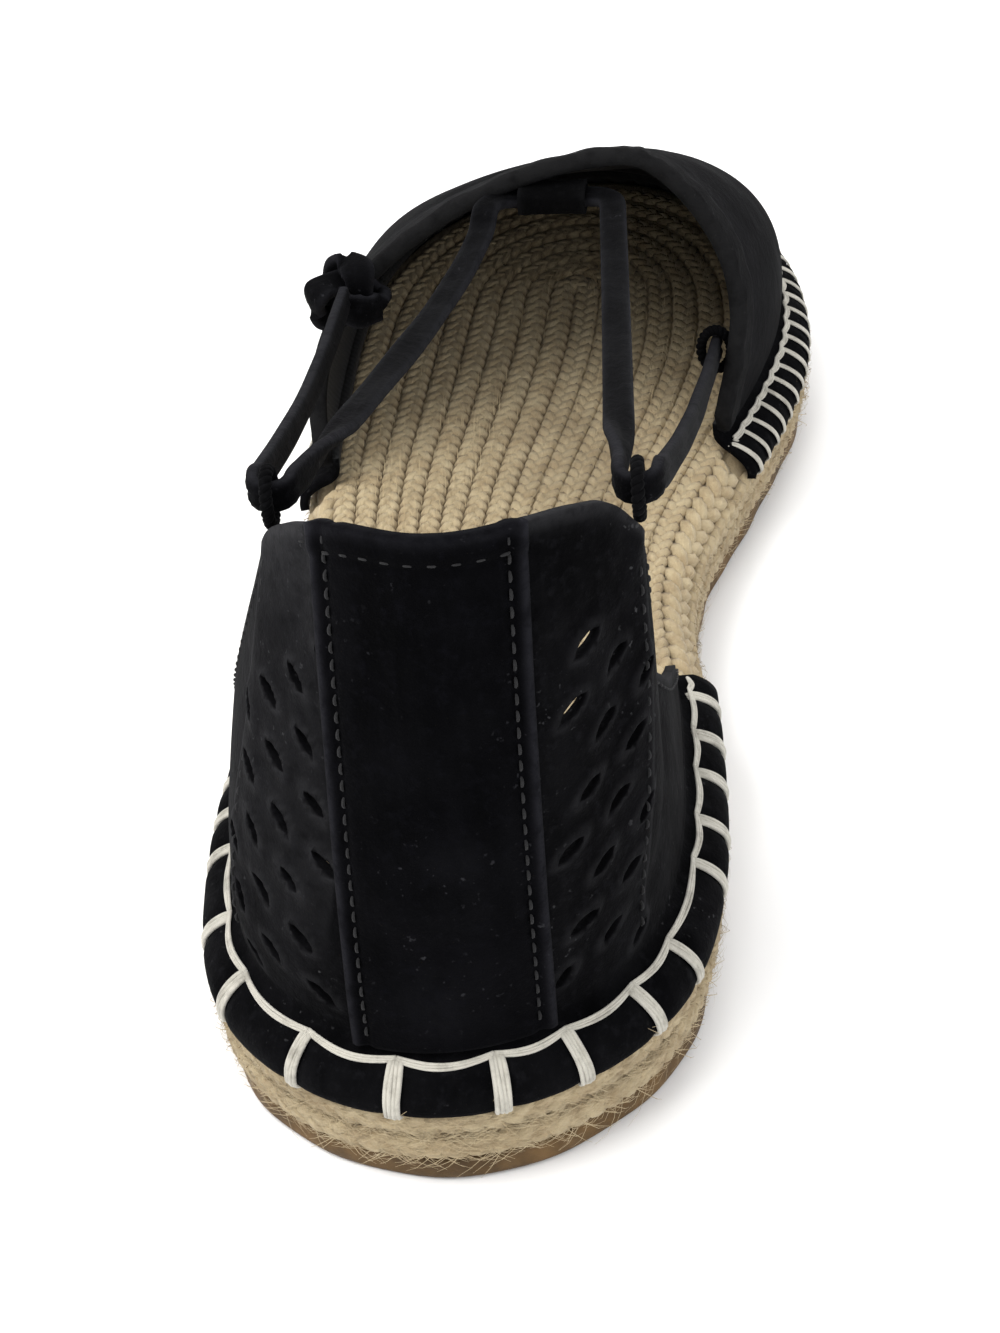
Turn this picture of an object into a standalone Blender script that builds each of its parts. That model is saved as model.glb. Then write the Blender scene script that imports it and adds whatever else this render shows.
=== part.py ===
# A woman's lace-up espadrille flat with an open waist, for the left foot.
# X points to the shoe's inner side, Y to the toe and Z up, in metres.
# The origin is on the floor, under the middle of the outsole.

import math

import bmesh
import bpy
import numpy as np

# Sole. Names that end in START, FULL or END are shares of its length.
SOLE_LENGTH = 0.2605
BALL_WIDTH = 0.0868
HEEL_END_RADIUS = 0.031
TOE_END_RADIUS = 0.037
HEEL_SWAY = 0.0036
HEEL_SWAY_END = 0.25
SOLE_HEIGHT = 0.0190
FOREFOOT_THINNING = 0.0025
FOREFOOT_START, FOREFOOT_FULL = 0.35, 0.70
TOE_SPRING = 0.0050
TOE_SPRING_START = 0.72
OUTSOLE_THICKNESS = 0.0042
OUTSOLE_INSET = 0.0006
ROPE_BULGE = 0.0008
FOOTBED_BORDER = 0.0090
FOOTBED_SEAM_DEPTH = 0.0008
FOOTBED_SEAM_WIDTH = 0.0014
ROPE_ROWS = 2

# Suede upper
WALL = 0.0015
GAP = 0.0003
BAND_HEIGHT = 0.0080
BAND_REACH = 0.0048
INSTEP_HEIGHT = 0.0540
TOE_BOX_RADIUS = 0.0120
TOE_ROUND_START, TOE_ROUND_FULL = 0.85, 0.97
SECTION_FULLNESS = {"inner": 2.1, "outer": 1.78}
SIDE_BULGE = {"inner": 0.0042, "outer": 0.0052}
CUFF_WIDTH = 0.0055
CUFF_STEP = 0.0006
CUFF_EDGE = 0.00036
HEEL_HEIGHT = 0.0840
HEEL_LEAN = 0.0055
TOP_SWAY = 0.0068
WING_LEAN = 0.0060
STAY_WIDTH = 0.0268
STAY_SWAY = 0.0015
STAY_THICKNESS = 0.0012
STAY_ABOVE_BAND = 0.0032

# Slots through the side panels of the quarter
SLOT_LENGTH = 0.0054
SLOT_WIDTH = 0.0017
SLOT_PITCH_ALONG = 0.0061
SLOT_PITCH_UP = 0.0112
SLOT_ROWS = 6
SLOT_SLANT = math.radians(33)
SLOT_FIRST_UP = 0.0100
SLOT_FALL = 0.87
SLOT_START = {"inner": 0.0205, "outer": 0.0145}
SLOT_END = 0.0370

# Lace, tab, loops and knot. ON_RIM is a share of the rim's way from the sole to the ridge,
# and HEEL_LOOP_AT a share of the wing's length from the middle of the heel.
LACE_WIDTH = 0.0045
LACE_THICKNESS = 0.0022
LACE_TURN_RADIUS = 0.0025
LACE_TWIST_LENGTH = 0.030
LACE_BEND_REACH = 0.0063
LACE_SAG = {"inner": 0.0030, "outer": 0.0050}
LACE_RETURN_SAG = 0.0030
LACE_SAG_SKEW = {"inner": 0.9, "outer": 0.55}
LOOP_CORD = 0.0018
HEEL_LOOP_AT = 0.33
VAMP_LOOP_ON_RIM = 0.26
VAMP_LOOP_BEYOND_RIM = 0.0035
TAB_WIDTH = 0.0115
TAB_WALL = 0.0009
TAB_ON_RIM = 0.90
TAB_BEHIND_RIM = 0.0012
TAB_BELOW_RIM = 0.00285
TAB_CORNER = 0.9
KNOT_CORD = 0.0034
KNOT_REACH = 0.0068
KNOT_DEPTH = 0.0022
KNOT_TUCK = 0.0034
KNOT_ON_RIM = 0.57
KNOT_BEHIND_RIM = 0.0028
KNOT_ABOVE_RIM = 0.0010

# Half widths of the sole at shares of its length, as shares of the ball width
SOLE_STATIONS = (
    # along, inner, outer
    (0.08, 0.348, 0.388),
    (0.17, 0.396, 0.468),
    (0.26, 0.385, 0.487),
    (0.35, 0.357, 0.466),
    (0.45, 0.310, 0.456),
    (0.53, 0.325, 0.476),
    (0.60, 0.378, 0.500),
    (0.68, 0.446, 0.512),
    (0.77, 0.491, 0.515),
    (0.85, 0.470, 0.488),
    (0.92, 0.390, 0.399),
)

# Where the quarter's wings end and the vamp begins, as shares of the sole's length
WING_END = {"inner": 0.371, "outer": 0.359}
VAMP_START = {"inner": 0.620, "outer": 0.583}
BAND_FADE = 0.012

# Ridge of the vamp at shares of the sole's length
RIDGE = (
    # along, height as a share of the instep height, towards the inner side as a share of the ball width
    (0.54, 1.150, 0.158),
    (0.67, 1.000, 0.160),
    (0.737, 0.853, 0.155),
    (0.795, 0.710, 0.144),
    (0.853, 0.541, 0.127),
    (0.90, 0.383, 0.104),
    (0.95, 0.235, 0.058),
    (1.00, 0.000, 0.000),
)

# Edge of the vamp's opening, from its corner at the sole to the ridge
RIM = {
    # share of the way: along the sole, from the ridge to the side
    "inner": ((0.0, 0.622, 0.992), (0.2, 0.634, 0.960), (0.4, 0.650, 0.890), (0.6, 0.663, 0.740),
              (0.8, 0.671, 0.420), (1.0, 0.671, 0.0)),
    "outer": ((0.0, 0.585, 0.992), (0.2, 0.602, 0.965), (0.4, 0.622, 0.910), (0.6, 0.640, 0.770),
              (0.8, 0.660, 0.430), (1.0, 0.671, 0.0)),
}

# Section of the turned-out hem band, from its lower edge up to the foot of the wall
BAND_SECTION = (
    # outward as a share of the reach, upward as a share of the band's height
    (1.24, -0.75),
    (1.27, -0.50),
    (1.19, -0.275),
    (0.95, -0.075),
    (0.60, 0.10),
    (0.23, 0.24),
    (0.03, 0.36),
    (0.00, 0.50),
)

# Top edge of the quarter, from the middle of the heel to the wing's end, as shares of its height
QUARTER_TOP = (
    # share of the wing, inner, outer
    (0.00, 1.000, 1.000),
    (0.14, 1.000, 0.990),
    (0.22, 0.985, 0.960),
    (0.29, 0.950, 0.925),
    (0.35, 0.865, 0.865),
    (0.42, 0.700, 0.715),
    (0.52, 0.490, 0.510),
    (0.63, 0.340, 0.350),
    (0.76, 0.225, 0.230),
    (0.90, 0.130, 0.130),
    (1.00, 0.085, 0.085),
)

# How the heel narrows, leans forward and sways to the inner side on its way up, as shares
HEEL_FORM = (
    # up, width left, lean, sway
    (0.00, 1.000, 0.00, 0.00),
    (0.15, 1.015, -0.12, 0.00),
    (0.35, 1.000, 0.00, 0.30),
    (0.55, 0.945, 0.25, 0.64),
    (0.80, 0.875, 0.62, 0.89),
    (1.00, 0.820, 1.00, 1.00),
)
HEEL_LEAN_FADE = 0.045
WING_LEAN_START, WING_LEAN_FULL = 0.020, 0.045


def smooth(table, x, column=1):
    """A smooth curve through a table's rows, read at each x."""
    rows = np.array(table, float)
    xs, ys = rows[:, 0], rows[:, column]
    slopes = np.gradient(ys, xs)
    x = np.clip(np.asarray(x, float), xs[0], xs[-1])
    left = np.clip(np.searchsorted(xs, x, side="right") - 1, 0, len(xs) - 2)
    span = xs[left + 1] - xs[left]
    t = (x - xs[left]) / span
    return (
        ys[left] * (1 + 2 * t) * (1 - t) ** 2
        + slopes[left] * span * t * (1 - t) ** 2
        + ys[left + 1] * t * t * (3 - 2 * t)
        + slopes[left + 1] * span * t * t * (t - 1)
    )


def ease(x):
    """0 before 0, 1 after 1, and a smooth step between."""
    x = np.clip(x, 0, 1)
    return x * x * (3 - 2 * x)


def angle_at(share):
    """The outline's angle at a share of the sole's length: 0 at the heel, pi at the toe."""
    return np.arccos(1 - 2 * np.asarray(share, float))


def half_width_curve(column):
    """Half widths divided by the sine of the outline's angle, so that both ends come out round."""
    rows = [(0.0, math.sqrt(2 * HEEL_END_RADIUS * SOLE_LENGTH) / 2)]
    for row in SOLE_STATIONS:
        angle = float(angle_at(row[0]))
        width = row[column] * BALL_WIDTH
        rows.append((angle, width / math.sin(angle)))
    rows.append((math.pi, math.sqrt(2 * TOE_END_RADIUS * SOLE_LENGTH) / 2))
    return rows


WIDTH_CURVES = {"inner": half_width_curve(1), "outer": half_width_curve(2)}


def sole_lift(share):
    """How far the toe spring lifts the underside."""
    return TOE_SPRING * np.clip((share - TOE_SPRING_START) / (1 - TOE_SPRING_START), 0, 1) ** 2


def sole_top(share):
    """Height of the footbed above the floor."""
    thinning = FOREFOOT_THINNING * ease((share - FOREFOOT_START) / (FOREFOOT_FULL - FOREFOOT_START))
    return sole_lift(share) + SOLE_HEIGHT - thinning


def outline(angle):
    """The sole's outline in plan, from the heel by the inner side (positive) or the outer (negative)."""
    angle = np.asarray(angle, float)
    share = (1 - np.cos(angle)) / 2
    inner = smooth(WIDTH_CURVES["inner"], np.abs(angle))
    outer = smooth(WIDTH_CURVES["outer"], np.abs(angle))
    sway = HEEL_SWAY * np.clip(1 - share / HEEL_SWAY_END, 0, 1) ** 2
    x = np.sin(angle) * np.where(angle >= 0, inner, outer) - sway
    return np.stack([x, (share - 0.5) * SOLE_LENGTH], -1)


def sole_edge(angle, inset=0.0):
    """The outline moved inward by a distance."""
    angle = np.asarray(angle, float)
    step = 1e-4
    along = outline(angle + step) - outline(angle - step)
    along /= np.linalg.norm(along, axis=-1, keepdims=True)
    outward = np.stack([along[..., 1], -along[..., 0]], -1)
    return outline(angle) - outward * np.asarray(inset)[..., None]


def share_of(y):
    return np.clip(y / SOLE_LENGTH + 0.5, 0, 1)


def with_height(plan, up):
    """Plan points lifted to a height over the footbed."""
    return np.concatenate([plan, (sole_top(share_of(plan[..., 1])) + up)[..., None]], -1)


# Stations round the sole that every piece on it shares, so that facets run side by side
HEEL_STEPS, WAIST_STEPS, TOE_STEPS = 15, 5, 16

# Rows up a wall, and how the vamp's grow from the sole to the ridge
WALL_STEPS = 9
VAMP_STEP_GROWTH = 1.35
STAY_COLUMNS = 9


def side_stations(side):
    """Angles along one side: to the wing's end, over the open waist, and from the vamp to the toe."""
    wing, vamp = WING_END[side], VAMP_START[side]
    heel = np.linspace(0, angle_at(wing), HEEL_STEPS + 1)
    waist = np.linspace(angle_at(wing + BAND_FADE), angle_at(vamp - BAND_FADE), WAIST_STEPS + 1)
    toe = np.linspace(angle_at(vamp), math.pi, TOE_STEPS + 1)
    return heel, waist, toe


STATIONS = {side: side_stations(side) for side in ("inner", "outer")}
ROUND = np.concatenate([
    *STATIONS["inner"],
    *[-part[::-1] for part in STATIONS["outer"][::-1]],
])
ROUND = np.delete(ROUND, [len(ROUND) // 2, len(ROUND) - 1])
ROUND_SHARE = share_of(sole_edge(ROUND, BAND_REACH)[:, 1])


def covered(angle):
    """1 where the hem band covers the jute, 0 over the open waist."""
    share = (1 - np.cos(angle)) / 2
    result = np.zeros_like(share)
    for side, sign in (("inner", 1), ("outer", -1)):
        on_side = np.sign(angle) == sign
        off_band = (share > WING_END[side] + BAND_FADE / 2) & (share < VAMP_START[side] - BAND_FADE / 2)
        result[on_side & ~off_band] = 1
    result[angle == 0] = 1
    return result


def new_object(name, mesh, collection):
    obj = bpy.data.objects.new(name, mesh)
    collection.objects.link(obj)
    return obj


def grid_faces(rows, columns, closed):
    """Quads of a grid of points, row by row, with its last column joined to the first if closed."""
    faces = []
    last = columns if closed else columns - 1
    for row in range(rows - 1):
        for column in range(last):
            after = (column + 1) % columns
            faces.append((row * columns + column, row * columns + after,
                          (row + 1) * columns + after, (row + 1) * columns + column))
    return faces


def grid_mesh(name, points, closed=False, extra_faces=()):
    rows, columns = points.shape[:2]
    mesh = bpy.data.meshes.new(name)
    faces = grid_faces(rows, columns, closed) + list(extra_faces)
    mesh.from_pydata(points.reshape(-1, 3).tolist(), [], faces)
    mesh.shade_smooth()
    return mesh


def sole_loft(name, rings, collection):
    """A solid through rings of points from the bottom up, closed across the sole from side to side."""
    count = rings.shape[1]
    top = (len(rings) - 1) * count
    caps = []
    for j in range(count // 2):
        a, b = j, j + 1
        c, d = (count - j - 1) % count, (count - j) % count
        corners = list(dict.fromkeys((a, b, c, d)))
        if len(corners) > 2:
            caps.append([top + corner for corner in corners])
            caps.append(corners[::-1])
    obj = new_object(name, grid_mesh(name, rings, True, caps), collection)
    return obj


# Edge of the outsole from the floor up: further in and up, as shares of its thickness
OUTSOLE_EDGE = ((0.38, 0.0), (0.05, 0.29), (0.0, 0.81), (0.17, 1.0))


def build_outsole(collection):
    rings = []
    for inset, height in OUTSOLE_EDGE:
        plan = sole_edge(ROUND, OUTSOLE_INSET + inset * OUTSOLE_THICKNESS)
        lift = sole_lift(ROUND_SHARE) + height * OUTSOLE_THICKNESS
        rings.append(np.concatenate([plan, lift[:, None]], 1))
    return sole_loft("outsole", np.array(rings), collection)


# How many rows of the band's section the jute's shoulder follows, and how far it goes on under the wall
SHOULDER_ROWS = 5
SHOULDER_TUCK = 0.0009
SHOULDER_LIFT = 0.0001


def shoulder_rows():
    """The band's section moved inward by the wall and a gap, as far up as the footbed: outward, upward."""
    section = np.array(BAND_SECTION) * (BAND_REACH, BAND_HEIGHT)
    along = np.gradient(section, axis=0)
    along /= np.linalg.norm(along, axis=1, keepdims=True)
    inward = np.stack([-along[:, 1], along[:, 0]], 1)
    moved = section + inward * (WALL + GAP)
    moved[:, 1] = np.minimum(moved[:, 1], 0)
    return [(out - BAND_REACH, up) for out, up in moved[:SHOULDER_ROWS]] + [(-BAND_REACH - SHOULDER_TUCK, 0.0)]


# One row of rope: its share of the row's height, how far out as a share of the bulge
ROPE_SECTION = ((0.16, -0.05), (0.5, 0.6), (0.84, -0.05))

# The jute's shoulder where no band covers it, outward as a share of the bulge, from the ledge up
OPEN_SHOULDER = (-0.2, 0.6, 0.5, -0.2, -1.2, -2.6)


def build_jute_sole(collection):
    """Rows of rope round the side, pressed in under the hem band, and a seam round the footbed."""
    cover = covered(ROUND)
    bottom = OUTSOLE_THICKNESS + GAP
    rings = []

    def add(out_free, out_covered, height):
        plan = sole_edge(ROUND, -(out_free * (1 - cover) + out_covered * cover))
        rings.append(np.concatenate([plan, height(ROUND_SHARE)[:, None]], 1))

    def low(at):
        return sole_lift(at) + bottom

    def ledge(at):
        return sole_top(at) + BAND_HEIGHT * BAND_SECTION[0][1] - GAP

    add(-ROPE_BULGE, -ROPE_BULGE, low)
    for row in range(ROPE_ROWS):
        for part, bulge in ROPE_SECTION:
            share = (row + part) / ROPE_ROWS
            out = ROPE_BULGE * bulge
            add(out, out, lambda at: low(at) + (ledge(at) - low(at)) * share)
    for (out, up), free in zip(shoulder_rows(), OPEN_SHOULDER):
        add(free * ROPE_BULGE, out, lambda at: np.maximum(sole_top(at) + up, ledge(at) + SHOULDER_LIFT))
    for inward, drop in ((-0.5, 0.0), (0.0, 1.0), (0.5, 0.0)):
        plan = sole_edge(ROUND, FOOTBED_BORDER + inward * FOOTBED_SEAM_WIDTH)
        rings.append(with_height(plan, -drop * FOOTBED_SEAM_DEPTH))
    return sole_loft("jute_sole", np.array(rings), collection)


def band_rows(angles):
    """The hem band over the jute's shoulder, row by row from its lower edge."""
    rows = []
    for out, up in BAND_SECTION:
        plan = sole_edge(angles, BAND_REACH * (1 - out))
        foot = sole_edge(angles, BAND_REACH)
        height = sole_top(share_of(foot[:, 1])) + BAND_HEIGHT * up
        rows.append(np.concatenate([plan, height[:, None]], 1))
    return rows


# The foot of the upper's wall, finely spaced, to read half widths and lengths from
FINE = np.linspace(0, math.pi, 721)
WALL_FOOT = {"inner": sole_edge(FINE, BAND_REACH), "outer": sole_edge(-FINE, BAND_REACH)}
WALL_LENGTH = {
    side: np.concatenate([[0], np.cumsum(np.linalg.norm(np.diff(line, axis=0), axis=1))])
    for side, line in WALL_FOOT.items()
}


def ridge_height(y):
    """Height of the vamp's ridge over the footbed, rounded down to the toe."""
    reach = SOLE_LENGTH / 2 - BAND_REACH
    share = np.clip((y + reach) / (2 * reach), 0, 1)
    rows = [(angle_at(at), part * INSTEP_HEIGHT / math.sin(angle_at(at))) for at, part, _ in RIDGE[:-1]]
    rows.append((math.pi, math.sqrt(2 * TOE_BOX_RADIUS * 2 * reach) / 2))
    angle = angle_at(share)
    return np.sin(angle) * smooth(rows, angle)


def ridge_x(y):
    return smooth(RIDGE, share_of(y), 2) * BALL_WIDTH


def wall_x(y, side):
    """Where the wall's foot stands at a place along the shoe."""
    line = WALL_FOOT[side]
    return np.interp(y, line[:, 1], line[:, 0])


def vamp_height(x, y):
    """Height of the vamp over the footbed at a plan point: a full arch from side to side over the ridge."""
    ridge = ridge_x(y)
    inner = x >= ridge
    reach = np.where(inner, wall_x(y, "inner") - ridge, ridge - wall_x(y, "outer"))
    across = np.clip(np.abs(x - ridge) / np.maximum(reach, 1e-6), 0, 1)
    toe = ease((share_of(y) - TOE_ROUND_START) / (TOE_ROUND_FULL - TOE_ROUND_START))
    fullness = np.where(inner, SECTION_FULLNESS["inner"], SECTION_FULLNESS["outer"]) * (1 - toe) + 2 * toe
    return ridge_height(y) * np.sqrt(1 - across ** fullness)


def rim_point(side, share):
    """A plan point on the edge of the vamp's opening."""
    along = smooth(RIM[side], share, 1)
    across = smooth(RIM[side], share, 2)
    y = (along - 0.5) * SOLE_LENGTH
    return np.stack([ridge_x(y) + across * (wall_x(y, side) - ridge_x(y)), y], -1)


def vamp_columns():
    """Angles round the toe from the inner corner to the outer one, and each column's place on the rim."""
    angles, rims = [], []
    for side, sign in (("outer", -1), ("inner", 1)):
        toe = STATIONS[side][2]
        lengths = np.interp(toe, FINE, WALL_LENGTH[side])
        share = (lengths - lengths[0]) / (lengths[-1] - lengths[0])
        points = rim_point(side, share)
        if sign > 0:
            toe, points = toe[-2::-1], points[-2::-1]
        angles.append(sign * toe)
        rims.append(points)
    return np.concatenate(angles)[::-1], np.concatenate(rims)[::-1]


def vamp_lines(angles, rims, samples=160):
    """Curves on the vamp from the wall's foot to the rim, and the length along each."""
    part = 1 - np.cos(np.linspace(0, math.pi / 2, samples))
    foot = sole_edge(angles, BAND_REACH)
    plan = foot[None] + (rims - foot)[None] * part[:, None, None]
    rise = vamp_height(plan[..., 0], plan[..., 1])
    outward = foot - sole_edge(angles, BAND_REACH + 1e-3)
    outward /= np.linalg.norm(outward, axis=1, keepdims=True)
    bulge = np.where(angles >= 0, SIDE_BULGE["inner"], SIDE_BULGE["outer"]) * outward[:, 0] ** 2
    plan = plan + outward[None] * (bulge * np.sin(math.pi * np.clip(rise / INSTEP_HEIGHT, 0, 1)))[..., None]
    height = sole_top(share_of(plan[..., 1])) + rise
    points = np.concatenate([plan, height[..., None]], -1)
    steps = np.linalg.norm(np.diff(points, axis=0), axis=2)
    return points, np.concatenate([np.zeros((1, len(angles))), np.cumsum(steps, axis=0)])


def grid_normals(points):
    """Outward normals of a grid whose rows run up the wall and whose columns run round the toe."""
    up = np.gradient(points, axis=0)
    round_toe = np.gradient(points, axis=1)
    normals = np.cross(round_toe, up)
    return normals / np.linalg.norm(normals, axis=2, keepdims=True)


def solidify(obj, thickness, offset):
    modifier = obj.modifiers.new("wall", "SOLIDIFY")
    modifier.thickness = thickness
    modifier.offset = offset
    modifier.use_even_offset = True
    modifier.use_quality_normals = True
    return modifier


def build_vamp(collection):
    angles, rims = vamp_columns()
    lines, lengths = vamp_lines(angles, rims)
    rows = band_rows(angles)
    start = BAND_HEIGHT * BAND_SECTION[-1][1]
    total = lengths[-1]
    targets = [
        start + (total - CUFF_WIDTH - start) * (step / WALL_STEPS) ** VAMP_STEP_GROWTH
        for step in range(1, WALL_STEPS + 1)
    ]
    cuff_from = len(rows) + len(targets)
    targets += [total - CUFF_WIDTH + CUFF_EDGE, total - CUFF_WIDTH / 2, total]
    for target in targets:
        row = np.empty((len(angles), 3))
        for column in range(len(angles)):
            for axis in range(3):
                row[column, axis] = np.interp(target[column], lengths[:, column], lines[:, column, axis])
        rows.append(row)
    points = np.array(rows)
    normals = grid_normals(points)
    points[cuff_from:] += normals[cuff_from:] * CUFF_STEP
    obj = new_object("vamp", grid_mesh("vamp", points), collection)
    solidify(obj, WALL, -1)
    return obj


def wing_share(angle):
    """Share of the wing's length from the middle of the heel, at an outline angle."""
    result = np.empty_like(angle)
    for side, sign in (("inner", 1), ("outer", -1)):
        on_side = angle >= 0 if sign > 0 else angle < 0
        length = np.interp(np.abs(angle), FINE, WALL_LENGTH[side])
        end = np.interp(angle_at(WING_END[side]), FINE, WALL_LENGTH[side])
        result[on_side] = (length / end)[on_side]
    return result


def quarter_top(angle):
    """Share of the heel's height that the quarter reaches."""
    share = wing_share(angle)
    inner = smooth(QUARTER_TOP, share, 1)
    outer = smooth(QUARTER_TOP, share, 2)
    return np.where(angle >= 0, inner, outer)


def quarter_point(angle, up):
    """A point on the quarter's outer face: the wall's foot, narrowed, leaned and swayed on the way up."""
    foot = sole_edge(angle, BAND_REACH)
    from_heel = foot[..., 1] + SOLE_LENGTH / 2 - BAND_REACH
    wing = ease((from_heel - WING_LEAN_START) / (WING_LEAN_FULL - WING_LEAN_START))
    sway = smooth(HEEL_FORM, up, 3) * TOP_SWAY * (1 - wing)
    x = foot[..., 0] * smooth(HEEL_FORM, up, 1) + sway - np.sign(foot[..., 0]) * WING_LEAN * up * wing
    lean = smooth(HEEL_FORM, up, 2) * HEEL_LEAN * ease(1 - from_heel / HEEL_LEAN_FADE)
    return np.stack([x, foot[..., 1] + lean, sole_top(share_of(foot[..., 1])) + up * HEEL_HEIGHT], -1)


def quarter_frame(angle, up):
    """A point on the quarter with its directions along the wing, up the wall and outward."""
    step = 1e-3
    point = quarter_point(angle, up)
    along = quarter_point(angle + step, up) - quarter_point(angle - step, up)
    upward = quarter_point(angle, up + step) - quarter_point(angle, up - step)
    along /= np.linalg.norm(along, axis=-1, keepdims=True)
    outward = np.cross(along, upward)
    outward /= np.linalg.norm(outward, axis=-1, keepdims=True)
    return point, along, np.cross(outward, along), outward


def quarter_angle(side, distance):
    """The outline angle at a distance from the middle of the heel, along the wall's foot."""
    sign = 1 if side == "inner" else -1
    return sign * np.interp(distance, WALL_LENGTH[side], FINE)


def slot_places():
    """Centres of the slots on each side panel: staggered rows that fall away from the back stay."""
    places = []
    columns = int((SLOT_END - min(SLOT_START.values())) / SLOT_PITCH_ALONG) + 1
    for side in ("inner", "outer"):
        for row in range(SLOT_ROWS):
            for column in range(columns):
                away = (column + (row % 2) / 2) * SLOT_PITCH_ALONG
                distance = SLOT_START[side] + away
                height = SLOT_FIRST_UP + row * SLOT_PITCH_UP - away * SLOT_FALL
                angle = quarter_angle(side, distance)
                clear = quarter_top(np.array([angle]))[0] * HEEL_HEIGHT - height
                if SLOT_FIRST_UP / 2 < height and clear > SLOT_LENGTH and distance < SLOT_END:
                    places.append((side, angle, height / HEEL_HEIGHT))
    return places


def build_slot_cutter(collection):
    """Rounded bars through the wall, one for each slot, in one mesh."""
    shape = bmesh.new()
    end_steps = 3
    straight = (SLOT_LENGTH - SLOT_WIDTH) / 2
    for side, angle, up in slot_places():
        point, along, upward, outward = quarter_frame(np.array(angle), np.array(up))
        toward_stay = -along if side == "inner" else along
        slant = toward_stay * math.cos(SLOT_SLANT) - upward * math.sin(SLOT_SLANT)
        beside = np.cross(outward, slant)
        profile = []
        for end in (1, -1):
            for step in range(end_steps):
                turn = math.pi * (step / (end_steps - 1) - 0.5)
                profile.append((end * (straight + SLOT_WIDTH / 2 * math.cos(turn)),
                                end * SLOT_WIDTH / 2 * math.sin(turn)))
        rings = []
        for depth in (-2 * WALL, WALL):
            ring = [shape.verts.new(point + outward * depth + slant * a + beside * b) for a, b in profile]
            rings.append(ring)
        low, high = rings
        count = len(profile)
        for j in range(count):
            k = (j + 1) % count
            shape.faces.new((low[j], low[k], high[k], high[j]))
        shape.faces.new(low[::-1])
        shape.faces.new(high)
    bmesh.ops.recalc_face_normals(shape, faces=shape.faces)
    mesh = bpy.data.meshes.new("slot_cutter")
    shape.to_mesh(mesh)
    shape.free()
    cutter = new_object("slot_cutter", mesh, collection)
    cutter.hide_render = True
    cutter.display_type = "WIRE"
    return cutter


def build_quarter(collection, cutters):
    angles = np.concatenate([-STATIONS["outer"][0][:0:-1], STATIONS["inner"][0]])
    rows = band_rows(angles)
    start = BAND_HEIGHT * BAND_SECTION[-1][1] / HEEL_HEIGHT
    top = quarter_top(angles)
    for step in range(1, WALL_STEPS + 1):
        up = start + (top - start) * step / WALL_STEPS
        rows.append(quarter_point(angles, up))
    obj = new_object("quarter", grid_mesh("quarter", np.array(rows)), collection)
    solidify(obj, WALL, -1)
    cut = obj.modifiers.new("slots", "BOOLEAN")
    cut.operation = "DIFFERENCE"
    cut.solver = "EXACT"
    cut.object = build_slot_cutter(cutters)
    return obj


def stay_angle(place, up):
    """Outline angles of the stay's columns, which keep its width all the way up."""
    x = place * STAY_WIDTH / 2 + STAY_SWAY * up
    foot_x = (x - smooth(HEEL_FORM, up, 3) * TOP_SWAY) / smooth(HEEL_FORM, up, 1)
    outer, inner = WALL_FOOT["outer"][:200], WALL_FOOT["inner"][:200]
    return np.interp(foot_x, np.concatenate([outer[:0:-1, 0], inner[:, 0]]),
                     np.concatenate([-FINE[199:0:-1], FINE[:200]]))


def build_back_stay(collection):
    """The strip up the heel, cut between two larger copies of the quarter's own form."""
    place = np.linspace(-1, 1, STAY_COLUMNS)
    start = STAY_ABOVE_BAND / HEEL_HEIGHT
    rows = []
    for step in range(WALL_STEPS + 1):
        share = step / WALL_STEPS
        top = quarter_top(stay_angle(place, np.ones_like(place))) + STAY_THICKNESS / HEEL_HEIGHT
        up = start + (top - start) * share
        point, _, _, outward = quarter_frame(stay_angle(place, up), up)
        rows.append(point + outward * GAP)
    obj = new_object("back_stay", grid_mesh("back_stay", np.array(rows)), collection)
    solidify(obj, STAY_THICKNESS, 1)
    return obj


def unit(vector):
    return vector / np.linalg.norm(vector)


def heel_loop_place(side):
    """Middle of a heel loop, on the sloping edge of the quarter's front corner, and the way outward there."""
    end = np.interp(angle_at(WING_END[side]), FINE, WALL_LENGTH[side])
    angle = quarter_angle(side, HEEL_LOOP_AT * end)
    around = angle + np.array([-1, 0, 1]) * 1e-3
    before, edge, after = quarter_point(around, quarter_top(around))
    outward = quarter_frame(around, quarter_top(around))[3][1]
    off_edge = np.cross(outward, unit(after - before))
    off_edge *= np.sign(off_edge[2])
    reach = (LACE_WIDTH + LACE_THICKNESS) / 4 + LOOP_CORD + 3 * GAP
    return edge - outward * WALL / 2 + off_edge * reach, outward


def vamp_wall(side, y, z):
    """Outer face of the vamp's side at a place along the shoe and a height."""
    rise = z - sole_top(share_of(y))
    across = (1 - np.clip(rise / ridge_height(y), 0, 1) ** 2) ** (1 / SECTION_FULLNESS[side])
    bulge = SIDE_BULGE[side] * math.sin(math.pi * np.clip(rise / INSTEP_HEIGHT, 0, 1))
    x = ridge_x(y) + across * (wall_x(y, side) - ridge_x(y))
    return x + bulge * (1 if side == "inner" else -1)


def rim_place(side, share):
    """A point on the outer face of the vamp's rim."""
    x, y = rim_point(side, share)
    z = float(sole_top(share_of(y)) + vamp_height(x, y))
    return np.array([vamp_wall(side, y, z), y, z])


def vamp_loop_place():
    """Middle of the loop under the cuff on the inner side, its lace clear of the wall."""
    rim = rim_place("inner", VAMP_LOOP_ON_RIM)
    y, z = rim[1] + VAMP_LOOP_BEYOND_RIM, rim[2] - LACE_WIDTH / 2
    inset = WALL + 3.5 * GAP + LOOP_CORD + LACE_THICKNESS / 2
    return np.array([vamp_wall("inner", y, z) - inset, y, z])


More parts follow.
